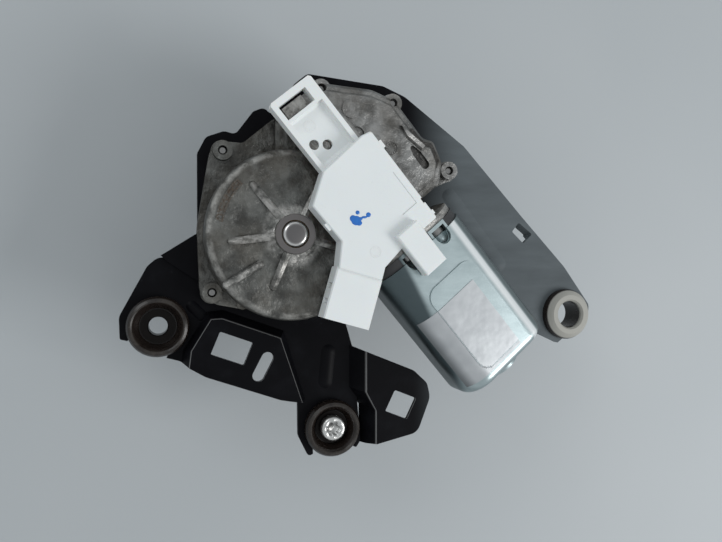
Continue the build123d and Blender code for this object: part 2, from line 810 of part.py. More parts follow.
def commutator():
    """Copper bars around a moulded core."""
    bars = []
    width = 360 / commutator_bars
    tube = ring(commutator_radius, commutator_radius - 3.0, commutator_start, commutator_end())
    for bar in range(commutator_bars):
        gap = block(commutator_radius - 4, commutator_radius + 1, -0.3, 0.3, commutator_start - 1, 100)
        tube = tube - Rot(0, 0, bar * width + width / 2) * gap
    for solid in tube.solids():
        bars.append(spin * solid)
    return Compound(children=bars)


def commutator_core():
    return spin * ring(commutator_radius - 3.0, armature_shaft_radius, commutator_start - 0.5, commutator_end())


def can_screw_frames():
    return [Pos(across, can_screw_rise, 0) for across in can_screw_sides]


def motor_can():
    """Deep-drawn can with round edges, flats, a rear bearing cup and two screw pockets."""
    can = can_prism(0, can_start, can_end)
    can = fillet(can.faces().sort_by(Axis.Z)[-1].edges(), can_end_round)
    can = can + pin(rear_bearing_radius + rear_cup_wall, can_end - 5, can_end + rear_cup_length)
    pad_length = can_end - can_pad_room - can_pad_start
    pad_middle = can_pad_start + pad_length / 2
    flat = extrude(RectangleRounded(can_width - 2 * can_corner + 3, pad_length, 6.0), amount=1 + can_pad_rise)
    for side in (-1, 1):
        can = can + Location((0, side * (can_thickness / 2 - 1), pad_middle), (-90 * side, 0, 0)) * flat
    hollow = can_prism(can_wall, can_start - 1, can_end - can_wall)
    hollow = fillet(hollow.faces().sort_by(Axis.Z)[-1].edges(), can_end_round - can_wall)
    can = can - hollow
    can = can - pin(rear_bearing_radius + seat_gap, can_end - 5, can_end + rear_cup_length - 1.5)
    half = can_lug_width / 2
    bend = half - 1.2
    crown = can_thickness / 2 - can_screw_rise
    notch = block(-bend, bend, -1, 9, can_start - 1, can_notch_end - bend)
    notch = notch + Location((0, -1, can_notch_end - bend), (-90, 0, 0)) * Cylinder(bend, 10, align=low)
    for frame in can_screw_frames():
        cheeks = block(-half, half, -4.5, crown - 0.6, can_seat, can_start + 1.5)
        cheeks = cheeks - block(1.2 - half, half - 1.2, -9, 9, can_seat + can_lug_thickness, can_notch_end)
        can = can - frame * notch
        can = can + frame * cheeks
        can = can - frame * pin(can_screw_radius + seat_gap, end_flange_start, can_start)
    return spin * can


def can_screws():
    """Two screws that hold the can to the casting's end flange."""
    screws = []
    seat = can_seat + can_lug_thickness
    for frame in can_screw_frames():
        head = pin(can_screw_head_radius, seat, seat + can_screw_head_height)
        head = chamfer(head.edges().group_by(Axis.Z)[-1], 0.7)
        head = head - Pos(0, 0, seat + can_screw_head_height - 1.6) * extrude(RegularPolygon(2.0, 6), amount=3)
        screws.append(spin * frame * (head + pin(can_screw_radius, end_flange_start + 0.1, seat + 1)))
    return Compound(children=screws)


def brush_holder():
    """Black plastic card that closes the can and carries both brush boxes."""
    card = can_prism(0.7, can_seat, can_start - seat_gap)
    card = card + can_prism(can_wall + seat_gap, can_start - 1, can_start + 3.0)
    room = can_lug_width / 2 + seat_gap
    for frame in can_screw_frames():
        card = card - frame * block(-room, room, -4.6, 9, can_seat - 1, can_start + 6)
    for side in (-1, 1):
        outer = block(commutator_radius + 1.4, 21.4, -brush_height / 2 - brush_box_wall,
                      brush_height / 2 + brush_box_wall, can_start + 1, brush_start + brush_width + 1.6)
        inner = block(commutator_radius, brush_reach, -brush_height / 2 - seat_gap,
                      brush_height / 2 + seat_gap, brush_start - seat_gap, brush_start + brush_width + seat_gap)
        card = card + Rot(0, 0, 90 - 90 * side) * outer
        card = card - Rot(0, 0, 90 - 90 * side) * inner
    card = card - pin(armature_shaft_radius + 1.5, 30, 60)
    return spin * (card - pin(commutator_radius + 1.0, can_start + 0.8, 60))


def carbon_brushes():
    brushes = []
    for side in (-1, 1):
        brush = block(commutator_radius - 1, 16.0, -brush_height / 2, brush_height / 2,
                      brush_start, brush_start + brush_width)
        brush = brush - pin(commutator_radius + running_gap, 30, 60)
        brushes.append(spin * Rot(0, 0, 90 - 90 * side) * brush)
    return Compound(children=brushes)


def brush_springs():
    """Close-wound springs that push the brushes in."""
    springs = []
    turns = 5
    pitch = (brush_reach - 16.0) / turns
    profile = [(1.1, 16.0 + pitch * turns)]
    profile.append((1.1, 16.0))
    for turn in range(turns):
        profile.append((1.5, 16.0 + pitch * turn))
        profile.append((2.0, 16.0 + pitch * (turn + 0.35)))
        profile.append((2.0, 16.0 + pitch * (turn + 0.65)))
    profile.append((1.5, 16.0 + pitch * turns))
    for side in (-1, 1):
        coil = Location((0, 0, brush_start + brush_width / 2), (0, 90 * side, 0)) * turned(profile)
        springs.append(spin * coil)
    return Compound(children=springs)


def field_magnets():
    """Two ferrite segments in the round sides of the can."""
    magnets = []
    filled = can_prism(can_wall + seat_gap, core_start - 1, core_end + 2)
    filled = filled - pin(core_radius + air_gap, 40, 120)
    for side in (-1, 1):
        span = block(8, 40, -magnet_half_height, magnet_half_height, 40, 120)
        magnets.append(spin * (filled & (Rot(0, 0, 90 - 90 * side) * span)))
    return Compound(children=magnets)


# Circuit board in the bay, with its parts
board_corners = [
    (39.4, 41.2, 1.5),
    (22.8, 58.1, 1.5),
    (28.2, 63.5, 2.5),
    (44.8, 60.5, 3.5),
    (68.4, 39.8, 2.5),
    (67.4, 28.4, 2.5),
    (61.9, 23.3, 1.5),
]


def circuit_board():
    board = slab(board_corners, board_bottom, board_top)
    for along, across in board_posts:
        board = board - plan * pin(0.9 + seat_gap, 0, 20, along, across)
    return board


def power_switches():
    """Power transistors that reverse and park the motor."""
    switches = []
    for start in switch_starts:
        package = block(start, start + 6.5, 24.0, 31.0, board_top, board_top + 2.4)
        switches.append(plan * package)
    return Compound(children=switches)


def control_chip():
    chip = block(-4.5, 4.5, -4.5, 4.5, board_top, board_top + 1.8)
    return plan * Pos(-15.2, 24.6, 0) * chamfer(chip.edges().filter_by(Axis.Z), 0.8)


def storage_capacitor():
    return plan * pin(3.2, board_top, board_top + 6.0, -26.0, 18.8)


# Plastic cover, drawn in the motor's plan frame, with the plug box turned from it
cover_corners = [
    (-13.2, -15.6, 0.6),
    (-5.0, -28.6, 0.8),
    (14.1, -28.3, 0.8),
    (22.0, -36.6, 0.8),
    (38.4, -25.4, 0.8),
    (35.0, -20.6, 0.8),
    (33.5, -8.0, 0.8),
    (33.5, 12.0, 0.8),
    (-13.6, 12.0, 1.2),
    (-14.6, 7.6, 0.6),
]


def plug_frame():
    return Location((plug_mouth[0], plug_mouth[1], 0), (0, 0, plug_angle))


def inward(corners, distance):
    """Corners of an outline drawn in by a wall."""
    face = outline(corners)
    return offset(face, amount=-distance, kind=Kind.INTERSECTION)


def connector_cover():
    """White moulding: lid, latch tab, plug box and side box."""
    lid = slab(cover_corners, cover_skirt, cover_top)
    lid = chamfer(lid.faces().sort_by(Axis.Z)[-1].edges(), 0.5)
    plug = block(-plug_length - 1.2, 0, -plug_width / 2, plug_width / 2, plug_bottom, plug_top)
    plug = chamfer(plug.edges().filter_by(Axis.X), 0.6)
    shell = plan * lid + plug_frame() * plug
    room = extrude(inward(cover_corners, cover_wall), amount=cover_top - cover_wall - cover_skirt + 1, dir=up)
    shell = shell - plan * Pos(0, 0, cover_skirt - 1) * room
    half = plug_width / 2
    socket = block(-plug_length + 3.5, 1, -half + plug_wall, half - plug_wall,
                   plug_bottom + plug_wall, plug_top - plug_wall)
    shell = shell - plug_frame() * socket
    # Latch tab: rim, low floor, window and two holes
    tab = block(tab_start, -12.8, tab_left, tab_right, cover_skirt + 0.8, tab_top)
    tab = chamfer(tab.edges().filter_by(Axis.Z).group_by(Axis.X)[0], 1.0)
    dish = block(tab_start + window_rim + window_length + 1.4, -14.4, tab_left + 2.2, tab_right - 2.2, tab_floor, 50)
    dish = chamfer(dish.faces().sort_by(Axis.Z)[0].edges(), 1.2)
    tab = tab - dish
    window_end = tab_start + window_rim + window_length
    tab = tab - block(tab_start + window_rim, window_end, tab_left + 2.4, tab_right - 5.0, 0, 50)
    under = block(tab_start + 2, -12, tab_left + 1.8, tab_right - 1.8, 0, tab_floor - 1.6)
    tab = tab - under
    for x, y in tab_holes:
        tab = tab - pin(tab_hole_radius, 0, 50, x, y)
    shell = shell + plan * tab
    # Side box over the can, open underneath
    box = block(27.6, 49.4, -9.2, 2.4, can_roof, side_box_top)
    box = chamfer(box.faces().sort_by(Axis.Z)[-1].edges(), 0.5)
    box = box - block(34.6, 47.8, -7.6, 0.8, 0, side_box_top - 1.6)
    shell = shell + plan * box
    # Clear of the end flange and the can
    shell = shell - plan * block(end_flange_start - 0.5, 60, -25.0, 30, 0, can_roof)
    # Scored corner on the lid, latch nibs along its edges
    for groove in (block(5.9, 22.8, 8.2, 8.6, 0, 50), block(22.4, 22.8, 0.1, 8.6, 0, 50)):
        shell = shell - plan * Pos(0, 0, cover_top - 0.35) * groove
    for nib in (
        block(4.2, 7.6, -29.6, -27.6, cover_top - 4.0, cover_top - 0.7),
        block(-8.2, -4.6, 11.4, 13.2, cover_top - 3.2, cover_top - 0.6),
        block(29.6, 31.6, 11.4, 12.8, cover_top - 3.2, cover_top - 0.6),
    ):
        shell = shell + plan * nib
    shell = shell - plan * block(22.4, 25.0, 10.9, 13.0, cover_top - 2.4, cover_top + 1)
    for slot_start in (-15.5, -8.5):
        shell = shell - plug_frame() * block(slot_start, slot_start + 2.4, -half - 1, -half + 2, 28.2, 34.6)
    return shell - plug_terminals()


def plug_terminals():
    """Four flat blades through the back wall of the plug box."""
    blades = []
    level = (plug_bottom + plug_top) / 2
    for number in range(4):
        across = (number - 1.5) * 4.2
        blade = block(-plug_length - 4.0, -plug_length + 13.0, across - 1.1, across + 1.1, level - 0.4, level + 0.4)
        blades.append(plug_frame() * blade)
    return Compound(children=blades)


def suppressor_choke():
    """Ferrite rod choke in the side box."""
    radius = 1.9
    level = side_box_top - 1.6 - radius - seat_gap
    rod = Location((36.0, -3.4, level), (0, 90, 0)) * Cylinder(radius - 0.5, 11.0, align=low)
    coil = Location((38.0, -3.4, level), (0, 90, 0)) * Cylinder(radius, 7.0, align=low)
    return plan * (rod + coil)


def grommet(eye):
    """Rubber grommet with a deep cup, moulded to grip the fork's edges."""
    x, y = eye
    body = turned([
        (sleeve_radius, grommet_bottom),
        (grommet_radius - 1.5, grommet_bottom),
        (grommet_radius - 0.4, grommet_bottom + 1.2),
        (grommet_radius - 0.4, -seat_gap),
        (grommet_groove_radius - seat_gap, -seat_gap),
        (grommet_groove_radius - seat_gap, sheet + seat_gap),
        (grommet_radius, sheet + seat_gap),
        (grommet_radius, grommet_top - 2.2),
        (grommet_radius - 0.8, grommet_top - 0.6),
        (grommet_radius - 1.9, grommet_top),
        (cup_radius + 0.3, grommet_top - 0.4),
        (cup_radius - 0.6, grommet_top - 1.6),
        (sleeve_flange_radius + 0.4, sleeve_seat + 1.0),
        (sleeve_flange_radius + 0.4, sleeve_seat),
        (sleeve_radius, sleeve_seat),
    ])
    return Pos(x, y, 0) * body


def peg_grommet():
    """Locating grommet with a straight bore for the tailgate's peg."""
    body = turned([
        (peg_bore_radius, grommet_bottom - 0.5),
        (grommet_radius - 1.5, grommet_bottom - 0.5),
        (grommet_radius - 0.4, grommet_bottom + 0.8),
        (grommet_radius - 0.4, -seat_gap),
        (grommet_groove_radius - seat_gap, -seat_gap),
        (grommet_groove_radius - seat_gap, sheet + seat_gap),
        (grommet_radius, sheet + seat_gap),
        (grommet_radius, sheet + 2.2),
        (grommet_radius - 0.7, sheet + 3.8),
        (peg_ring_radius + 0.2, grommet_top - 0.4),
        (peg_ring_radius - 0.8, grommet_top + 0.4),
        (peg_bore_radius + 0.8, grommet_top + 0.4),
        (peg_bore_radius, grommet_top - 0.6),
    ])
    return Pos(right_eye[0], right_eye[1], 0) * body


def spacer_sleeve(eye):
    """Steel spacer that the mounting bolt clamps."""
    flange_top = sleeve_seat + sleeve_flange_thickness
    body = turned([
        (sleeve_bore_radius, grommet_bottom - 0.6),
        (sleeve_radius - seat_gap, grommet_bottom - 0.6),
        (sleeve_radius - seat_gap, sleeve_seat),
        (sleeve_flange_radius, sleeve_seat),
        (sleeve_flange_radius, flange_top),
        (sleeve_bore_radius + 0.4, flange_top),
        (sleeve_bore_radius, flange_top - 0.4),
    ])
    return Pos(eye[0], eye[1], 0) * body


def mounting_bolt():
    """Six-lobe socket bolt left standing in the lower grommet."""
    seat = sleeve_seat + sleeve_flange_thickness
    bolt = turned([
        (0, seat - bolt_length),
        (bolt_radius - 0.9, seat - bolt_length),
        (bolt_radius, seat - bolt_length + 1.2),
        (bolt_radius, seat - bolt_length + 1.2 + bolt_thread_length),
        (bolt_shank_radius, seat - bolt_length + 1.6 + bolt_thread_length),
        (bolt_shank_radius, seat),
        (bolt_head_radius, seat),
        (bolt_head_radius, seat + bolt_head_height - 0.8),
        (bolt_head_radius - 0.8, seat + bolt_head_height),
        (0, seat + bolt_head_height),
    ])
    socket = pin(bolt_socket_radius - 0.7, 0, 4)
    for lobe in range(6):
        angle = radians(lobe * 60)
        socket = socket + pin(0.95, 0, 4, (bolt_socket_radius - 0.95) * cos(angle), (bolt_socket_radius - 0.95) * sin(angle))
    bolt = bolt - Pos(0, 0, seat + bolt_head_height - 2.8) * socket
    return Pos(lower_eye[0], lower_eye[1], 0) * bolt


parts = {
    "mounting_bracket": mounting_bracket(),
    "gearbox_housing": gearbox_housing(),
    "housing_seal": housing_seal(),
    "cover_screws": cover_screws(),
    "pivot_sleeve": pivot_sleeve(),
    "sleeve_bushes": sleeve_bushes(),
    "housing_bush": bush(bush_radius - seat_gap, shaft_radius + running_gap, cavity_top + 0.1, boss_top - 1.7),
    "thrust_washer": ring(hub_radius - 0.2, journal_radius + 0.2, pivot_top + 0.02, pivot_top + washer_thickness),
    "shaft_seal": ring(bush_radius, journal_radius + running_gap, pivot_end + 0.3, pivot_end + 2.2),
    "end_washer": ring(pivot_radius - 2.5, journal_radius + 0.2, pivot_end - washer_thickness + 0.02, pivot_end - 0.02),
    "retaining_ring": ring(journal_radius + 1.6, journal_radius - 0.6, cone_top, cone_top + ring_thickness),
    "output_shaft": output_shaft(),
    "worm_wheel": worm_wheel(),
    "wheel_hub": wheel_hub(),
    "sensor_magnet": Rot(0, 0, -67.5) * pin(sensor_magnet_radius, wheel_bottom - 0.6, wheel_bottom + 2.0, 21, 0),
    "armature_shaft": armature_shaft(),
    "armature_core": armature_core(),
    "armature_windings": armature_windings(),
    "commutator": commutator(),
    "commutator_core": commutator_core(),
    "worm_end_bush": spin * bush(worm_bush_radius - seat_gap, armature_shaft_radius + running_gap,
                                 worm_bush_start + 0.2, worm_bush_start + worm_bush_length),
    "thrust_button": spin * pin(armature_shaft_radius + 0.5, armature_start - 2.4, armature_start - 0.1),
    "front_bearing": spin * bush(bearing_radius - seat_gap, armature_shaft_radius + running_gap,
                                 bearing_start + 0.1, bearing_start + bearing_length),
    "rear_bearing": spin * bush(rear_bearing_radius, armature_shaft_radius + running_gap,
                                can_end - 2.5, can_end + rear_cup_length - 1.6),
    "motor_can": motor_can(),
    "can_screws": can_screws(),
    "brush_holder": brush_holder(),
    "carbon_brushes": carbon_brushes(),
    "brush_springs": brush_springs(),
    "field_magnets": field_magnets(),
    "circuit_board": circuit_board(),
    "power_switches": power_switches(),
    "control_chip": control_chip(),
    "storage_capacitor": storage_capacitor(),
    "connector_cover": connector_cover(),
    "plug_terminals": plug_terminals(),
    "suppressor_choke": suppressor_choke(),
    "grommet_left": grommet(left_eye),
    "grommet_lower": grommet(lower_eye),
    "grommet_right": peg_grommet(),
    "spacer_sleeve_left": spacer_sleeve(left_eye),
    "spacer_sleeve_lower": spacer_sleeve(lower_eye),
    "mounting_bolt": mounting_bolt(),
}

for name, part in parts.items():
    export_step(part, f"parts/{name}.step")
    print(name, len(part.solids()), round(part.volume))
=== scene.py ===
# %% [markdown]
# # A rear wiper motor, dressed for its portrait
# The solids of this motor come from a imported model: a worm gearbox in a cast housing, a plated
# motor can, a white plug cover and a black stamped bracket with three rubber grommets.
# This lesson gives every surface its finish, adds the small things that solids leave out,
# and lights the whole as a plain studio picture.

# %% Load the frame
import json
import math

import bpy
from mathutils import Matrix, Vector


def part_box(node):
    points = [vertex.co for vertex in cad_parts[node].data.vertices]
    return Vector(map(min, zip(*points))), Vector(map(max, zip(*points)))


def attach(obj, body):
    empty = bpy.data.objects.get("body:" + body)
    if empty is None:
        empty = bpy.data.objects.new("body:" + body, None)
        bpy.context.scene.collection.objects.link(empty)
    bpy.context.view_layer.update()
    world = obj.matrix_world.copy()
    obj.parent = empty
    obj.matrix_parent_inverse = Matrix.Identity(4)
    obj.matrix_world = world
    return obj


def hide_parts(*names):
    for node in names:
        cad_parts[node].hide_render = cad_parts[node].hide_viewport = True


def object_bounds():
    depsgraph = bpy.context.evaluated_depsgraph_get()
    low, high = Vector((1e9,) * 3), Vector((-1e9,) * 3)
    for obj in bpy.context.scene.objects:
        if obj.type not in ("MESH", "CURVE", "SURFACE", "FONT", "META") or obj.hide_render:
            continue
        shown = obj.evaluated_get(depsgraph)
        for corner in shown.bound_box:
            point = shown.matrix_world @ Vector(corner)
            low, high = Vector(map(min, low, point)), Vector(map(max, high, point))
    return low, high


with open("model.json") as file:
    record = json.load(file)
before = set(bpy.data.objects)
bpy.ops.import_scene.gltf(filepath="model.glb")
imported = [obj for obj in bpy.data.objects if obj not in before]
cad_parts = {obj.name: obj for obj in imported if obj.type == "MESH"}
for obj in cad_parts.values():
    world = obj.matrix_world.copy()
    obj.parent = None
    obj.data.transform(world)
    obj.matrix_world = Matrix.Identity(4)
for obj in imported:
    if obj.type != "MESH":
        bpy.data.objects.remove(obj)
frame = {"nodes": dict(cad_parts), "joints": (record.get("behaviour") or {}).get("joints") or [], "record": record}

MM = 0.001
solid_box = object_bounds()
nodes = frame["nodes"]
print("solids span", [[round(value, 4) for value in corner] for corner in solid_box])

# %% [markdown]
# ## Where things are
# The motor lies at an angle on the bracket. Its armature joint already says where its axis is,
# so a small function turns "along the motor, across it, height" into a place in the frame.
# That keeps every later piece tied to the joint and not to typed coordinates.

# %% The motor's own directions
motor = next(joint for joint in frame["joints"] if joint["name"] == "armature_spin")
motor_start = Vector((motor["pos_m"][0], motor["pos_m"][1], 0.0))
motor_along = Vector(motor["axis"]).normalized()
motor_across = Vector((-motor_along.y, motor_along.x, 0.0))
motor_angle = math.atan2(motor_along.y, motor_along.x)


def on_motor(along, across, height):
    """Place in the frame from millimetres along and across the motor, and a height."""
    flat = motor_start + (motor_along * along + motor_across * across) * MM
    return Vector((flat.x, flat.y, height * MM))


print("motor axis passes", tuple(round(value, 4) for value in motor["pos_m"]))

# %% [markdown]
# ## Camera
# The photograph looks almost straight down the spindle, leaning a little to the right, from
# about 29 cm. A wide lens at a short distance is what makes the near cover look large, so the
# camera stands at that real distance and the lens is worked out from the picture's width.

# %% Camera
image_width = 722
focal_pixels = 625.0
sensor_width = 36.0
camera_place = Vector((-50.3, -15.7, 291.6)) * MM
camera_lean = math.radians(-16.86)
bpy.ops.object.camera_add(location=camera_place, rotation=(0.0, camera_lean, 0.0))
camera = bpy.context.object
camera.data.sensor_width = sensor_width
camera.data.lens = sensor_width * focal_pixels / image_width
camera.data.clip_start = 0.01
bpy.context.scene.camera = camera
print("lens", round(camera.data.lens, 2), "mm")

# %% [markdown]
# ## Shader maths as sums
# A node tree is easier to read as arithmetic. `Shade` wraps one socket and adds a Math node
# whenever it meets an operator, so a mask of bare metal can be written as `1 - dirt * 0.5`.
# `Board` holds one material's tree and adds every other kind of node through one method.


# %% Shade: a socket that can be added and multiplied
class Shade:
    """One output socket, used in sums as a number would be."""

    def __init__(self, board, socket):
        self.board = board
        self.socket = socket

    def maths(self, operation, *values):
        return self.board.add("ShaderNodeMath", {"operation": operation}, dict(enumerate(values)))

    def __add__(self, other):
        return self.maths("ADD", self, other)

    def __radd__(self, other):
        return self.maths("ADD", other, self)

    def __sub__(self, other):
        return self.maths("SUBTRACT", self, other)

    def __rsub__(self, other):
        return self.maths("SUBTRACT", other, self)

    def __mul__(self, other):
        return self.maths("MULTIPLY", self, other)

    def __pow__(self, other):
        return self.maths("POWER", self, other)

    def sine(self):
        return self.maths("SINE", self)

    def size(self):
        return self.maths("ABSOLUTE", self)

    def between(self, low, high):
        """0 below low, 1 above high, and a smooth rise between them."""
        sockets = {"Value": self, "From Min": low, "From Max": high}
        return self.board.add("ShaderNodeMapRange", {"interpolation_type": "SMOOTHSTEP"}, sockets)

    def band(self, rise, full, fade, end):
        """0 outside rise and end, 1 from full to fade."""
        return self.between(rise, full) * (1.0 - self.between(fade, end))


# %% Board: one material's node tree
class Board:
    """A material, with one method that adds any node."""

    def __init__(self, name):
        self.material = bpy.data.materials.new(name)
        self.material.use_nodes = True
        self.tree = self.material.node_tree
        self.tree.nodes.clear()
        self.coordinates = self.add("ShaderNodeTexCoord", {}, {}, "Object")

    def add(self, kind, settings, sockets, output=0):
        """Add a node, set its settings, then give its sockets their values or links."""
        node = self.tree.nodes.new(kind)
        for name, value in settings.items():
            setattr(node, name, value)
        for name, value in sockets.items():
            if isinstance(value, Shade):
                self.tree.links.new(value.socket, node.inputs[name])
            else:
                node.inputs[name].default_value = value
        return Shade(self, node.outputs[output])

    def noise(self, grain, detail=3.0, roughness=0.5, place=None):
        """Cloudy value from 0 to 1 whose blotches are about grain millimetres wide."""
        sockets = {"Vector": place or self.coordinates, "Scale": 1.0 / (grain * MM)}
        sockets.update({"Detail": detail, "Roughness": roughness})
        return self.add("ShaderNodeTexNoise", {}, sockets)

    def turned(self, angle, stretch=(1.0, 1.0, 1.0), centre=(0.0, 0.0, 0.0)):
        """Object coordinates about a centre, turned about Z and stretched."""
        sockets = {0: self.coordinates, 1: centre}
        moved = self.add("ShaderNodeVectorMath", {"operation": "SUBTRACT"}, sockets)
        sockets = {"Vector": moved, "Rotation": (0.0, 0.0, -angle), "Scale": stretch}
        return self.add("ShaderNodeMapping", {}, sockets)

    def axes(self, vector=None):
        """The three coordinates of a vector, as values in metres."""
        split = self.add("ShaderNodeSeparateXYZ", {}, {"Vector": vector or self.coordinates})
        node = split.socket.node
        return [Shade(self, socket) for socket in node.outputs]

    def mix(self, mask, first, second):
        """Colour that is first where the mask is 0 and second where it is 1."""
        sockets = {0: mask, 6: self.rgba(first), 7: self.rgba(second)}
        return self.add("ShaderNodeMix", {"data_type": "RGBA"}, sockets, 2)

    @staticmethod
    def rgba(colour):
        return colour if isinstance(colour, Shade) else (*colour, 1.0)

    def bump(self, height, depth):
        """Normal from a height map, with depth in millimetres."""
        sockets = {"Height": height, "Distance": depth * MM, "Strength": 1.0}
        return self.add("ShaderNodeBump", {}, sockets)

    def surface(self, colour, roughness, normal=None, **sockets):
        """Principled surface. Other sockets are named in words, such as metallic=1.0."""
        inputs = {"Base Color": self.rgba(colour), "Roughness": roughness}
        if normal is not None:
            inputs["Normal"] = normal
        for name, value in sockets.items():
            inputs[name.replace("_", " ").title().replace("Ior", "IOR")] = value
        shader = self.add("ShaderNodeBsdfPrincipled", {}, inputs)
        output = self.tree.nodes.new("ShaderNodeOutputMaterial")
        self.tree.links.new(shader.socket, output.inputs["Surface"])
        return self.material


print("shader tools ready")

# %% [markdown]
# ## Room: floor, world and lamps
# The floor is plain and pale. The world lights the object at an even, plain level, and it shows
# a pale room to the camera and to reflections, so metal has something calm to mirror.
# One softbox stands high on the right. The grey sheen on the bracket's long arm is a painted reflection
# in its finish, and the can's right edge carries a painted highlight.

# %% Floor
floor_gap = 0.4
floor_level = min(corner[2] for corner in solid_box) - floor_gap * MM
floor_size = 6.0
bpy.ops.mesh.primitive_grid_add(x_subdivisions=8, y_subdivisions=8, size=floor_size,
                                location=(0, 0, floor_level))
floor = bpy.context.object
floor.name = "studio_floor"


def floor_finish():
    board = Board("studio_floor")
    cloud = board.noise(180.0, 2.0)
    colour = board.mix(cloud, (0.40, 0.43, 0.445), (0.45, 0.475, 0.487))
    return board.surface(colour, 0.62, specular_ior_level=0.3)


floor.data.materials.append(floor_finish())

# %% World
world = bpy.data.worlds.new("studio_world")
bpy.context.scene.world = world
world.use_nodes = True
room = world.node_tree
room.nodes.clear()
room_light = 0.56
room_shown = 0.72
rays = room.nodes.new("ShaderNodeLightPath")
seen = room.nodes.new("ShaderNodeMath")
seen.operation = "MAXIMUM"
room.links.new(rays.outputs["Is Camera Ray"], seen.inputs[0])
room.links.new(rays.outputs["Is Glossy Ray"], seen.inputs[1])
strength = room.nodes.new("ShaderNodeMapRange")
strength.inputs["To Min"].default_value = room_light
strength.inputs["To Max"].default_value = room_shown
room.links.new(seen.outputs[0], strength.inputs["Value"])
backdrop = room.nodes.new("ShaderNodeBackground")
backdrop.inputs["Color"].default_value = (0.93, 0.97, 1.0, 1.0)
room.links.new(strength.outputs[0], backdrop.inputs["Strength"])
room_output = room.nodes.new("ShaderNodeOutputWorld")
room.links.new(backdrop.outputs[0], room_output.inputs["Surface"])


# %% Lamps
def softbox(name, place, aim, width, power, colour=(1.0, 1.0, 1.0)):
    """Square area lamp at a place, facing a point."""
    turn = (Vector(aim) - Vector(place)).to_track_quat("-Z", "Y").to_euler()
    bpy.ops.object.light_add(type="AREA", location=place, rotation=turn)
    lamp = bpy.context.object
    lamp.name = name
    lamp.data.size = width
    lamp.data.energy = power
    lamp.data.color = colour


softbox("right_softbox", (0.80, -0.35, 0.70), (0.05, 0.0, 0.0), 0.46, 5.5)
softbox("left_softbox", (-0.60, 0.60, 0.70), (0.0, 0.0, 0.0), 0.45, 1.8, (0.95, 0.98, 1.0))
print("lamps and floor placed, floor at", round(floor_level, 4))

# %% [markdown]
# ## Finishes
# Each material is a small recipe. A real surface is never one flat colour: cast metal is
# blotchy and pitted, plating shows faint streaks, paint has orange peel and moulded plastic
# gathers a little dirt. Colour clouds come from Noise at the real scale, in millimetres,
# and a fine height map feeds a Bump node.
#
# Where one finish gives way to another on the same solid, or where painted light or shade lies on it,
# a band of heights, radii or lengths marks the place. A pair says where the change starts and where it
# is complete. Four values say where the band rises, where it is full, where it fades and where it ends.
# All are in metres.

# %% Places where a finish changes or painted light lies
# Painted reflection on the bracket's long arm, then a painted highlight along its pressed creases.
arm_sheen_band = (0.060, 0.092)
crease_highlight_band = (0.0092, 0.0101, 0.01036, 0.01044)
bay_starts = (0.045, 0.075)
machined_level = (0.0299, 0.0302)
machined_inside = (0.0084, 0.0087)
# The rib, rim, wedge and pocket bands mark painted highlights and painted shade on the casting.
rib_level = (0.0255, 0.0266)
lobe_rim = (0.0335, 0.0350, 0.0362, 0.0372)
lobe_rim_level = (0.0215, 0.0230)
plate_heading = math.radians(153.0)
plate_ring = (0.0299, 0.0304, 0.0332, 0.0337)
plate_half_length = (0.0092, 0.0098)
wedge_place = (0.0610, 0.0400)
wedge_reach = (0.0115, 0.0125)
wedge_level = (0.0171, 0.0184)
pocket_floor = (0.0152, 0.0155, 0.0159, 0.0165)
# Painted shade on the can's sides and a painted highlight along its right edge.
can_shade_start, can_shade_slope = 0.0518, 0.2
can_shade = (0.0128, 0.0158)
can_edge_highlight = (0.0145, 0.0170, 0.0185, 0.0200)
can_right_shade = (0.0188, 0.0208)
# Painted shade where the label bends round the can's left edge.
label_bend_shade = (0.0190, 0.0235)
shaft_dome_level = (0.0308, 0.0310)
shaft_dome_inside = (0.0043, 0.0046)
# Painted highlight on the grommets' rim.
grommet_rim_level = (0.0066, 0.0084)
peg_grommet_side = (0.12, 0.125)
peg_grommet_level = (0.0056, 0.0066)
# Radians of a sine wave for each metre
wire_waves = 9000.0
sheet_waves = 9500.0
track_waves = 2400.0


# %% Painted and cast metal
def bracket_paint():
    """Black electro-coat over pressed steel: fine orange peel, dust and rubbed spots, a painted reflection on the
    long arm and a painted highlight along the pressed creases.
    """
    board = Board("bracket_paint")
    peel = board.noise(0.9, 2.0)
    dust = board.noise(14.0, 5.0, 0.6).between(0.45, 0.8)
    rubbed = board.noise(3.0, 6.0, 0.7).between(0.66, 0.74)
    x, _, z = board.axes()
    # Painted reflection: the long arm is painted grey, streaked along its length, as a lamp's sheen.
    arm_sheen = x.between(*arm_sheen_band)
    brushed_sheen = board.noise(7.0, 5.0, 0.55, board.turned(motor_angle, (0.2, 1.0, 1.0)))
    # Painted highlight: a thin light line along the top of each pressed fold.
    crease_highlight = z.band(*crease_highlight_band)
    colour = board.mix(dust * 0.5, (0.0035, 0.0035, 0.0045), (0.010, 0.0105, 0.013))
    colour = board.mix(arm_sheen * (0.55 + brushed_sheen * 0.6), colour, (0.125, 0.143, 0.152))
    colour = board.mix(rubbed * 0.2, colour, (0.045, 0.047, 0.05))
    colour = board.mix(crease_highlight * 0.75, colour, (0.26, 0.26, 0.26))
    roughness = 0.40 + dust * 0.12 + rubbed * 0.1
    height = peel * 0.3 + brushed_sheen * arm_sheen
    return board.surface(colour, roughness, board.bump(height, 0.12), specular_ior_level=0.05)


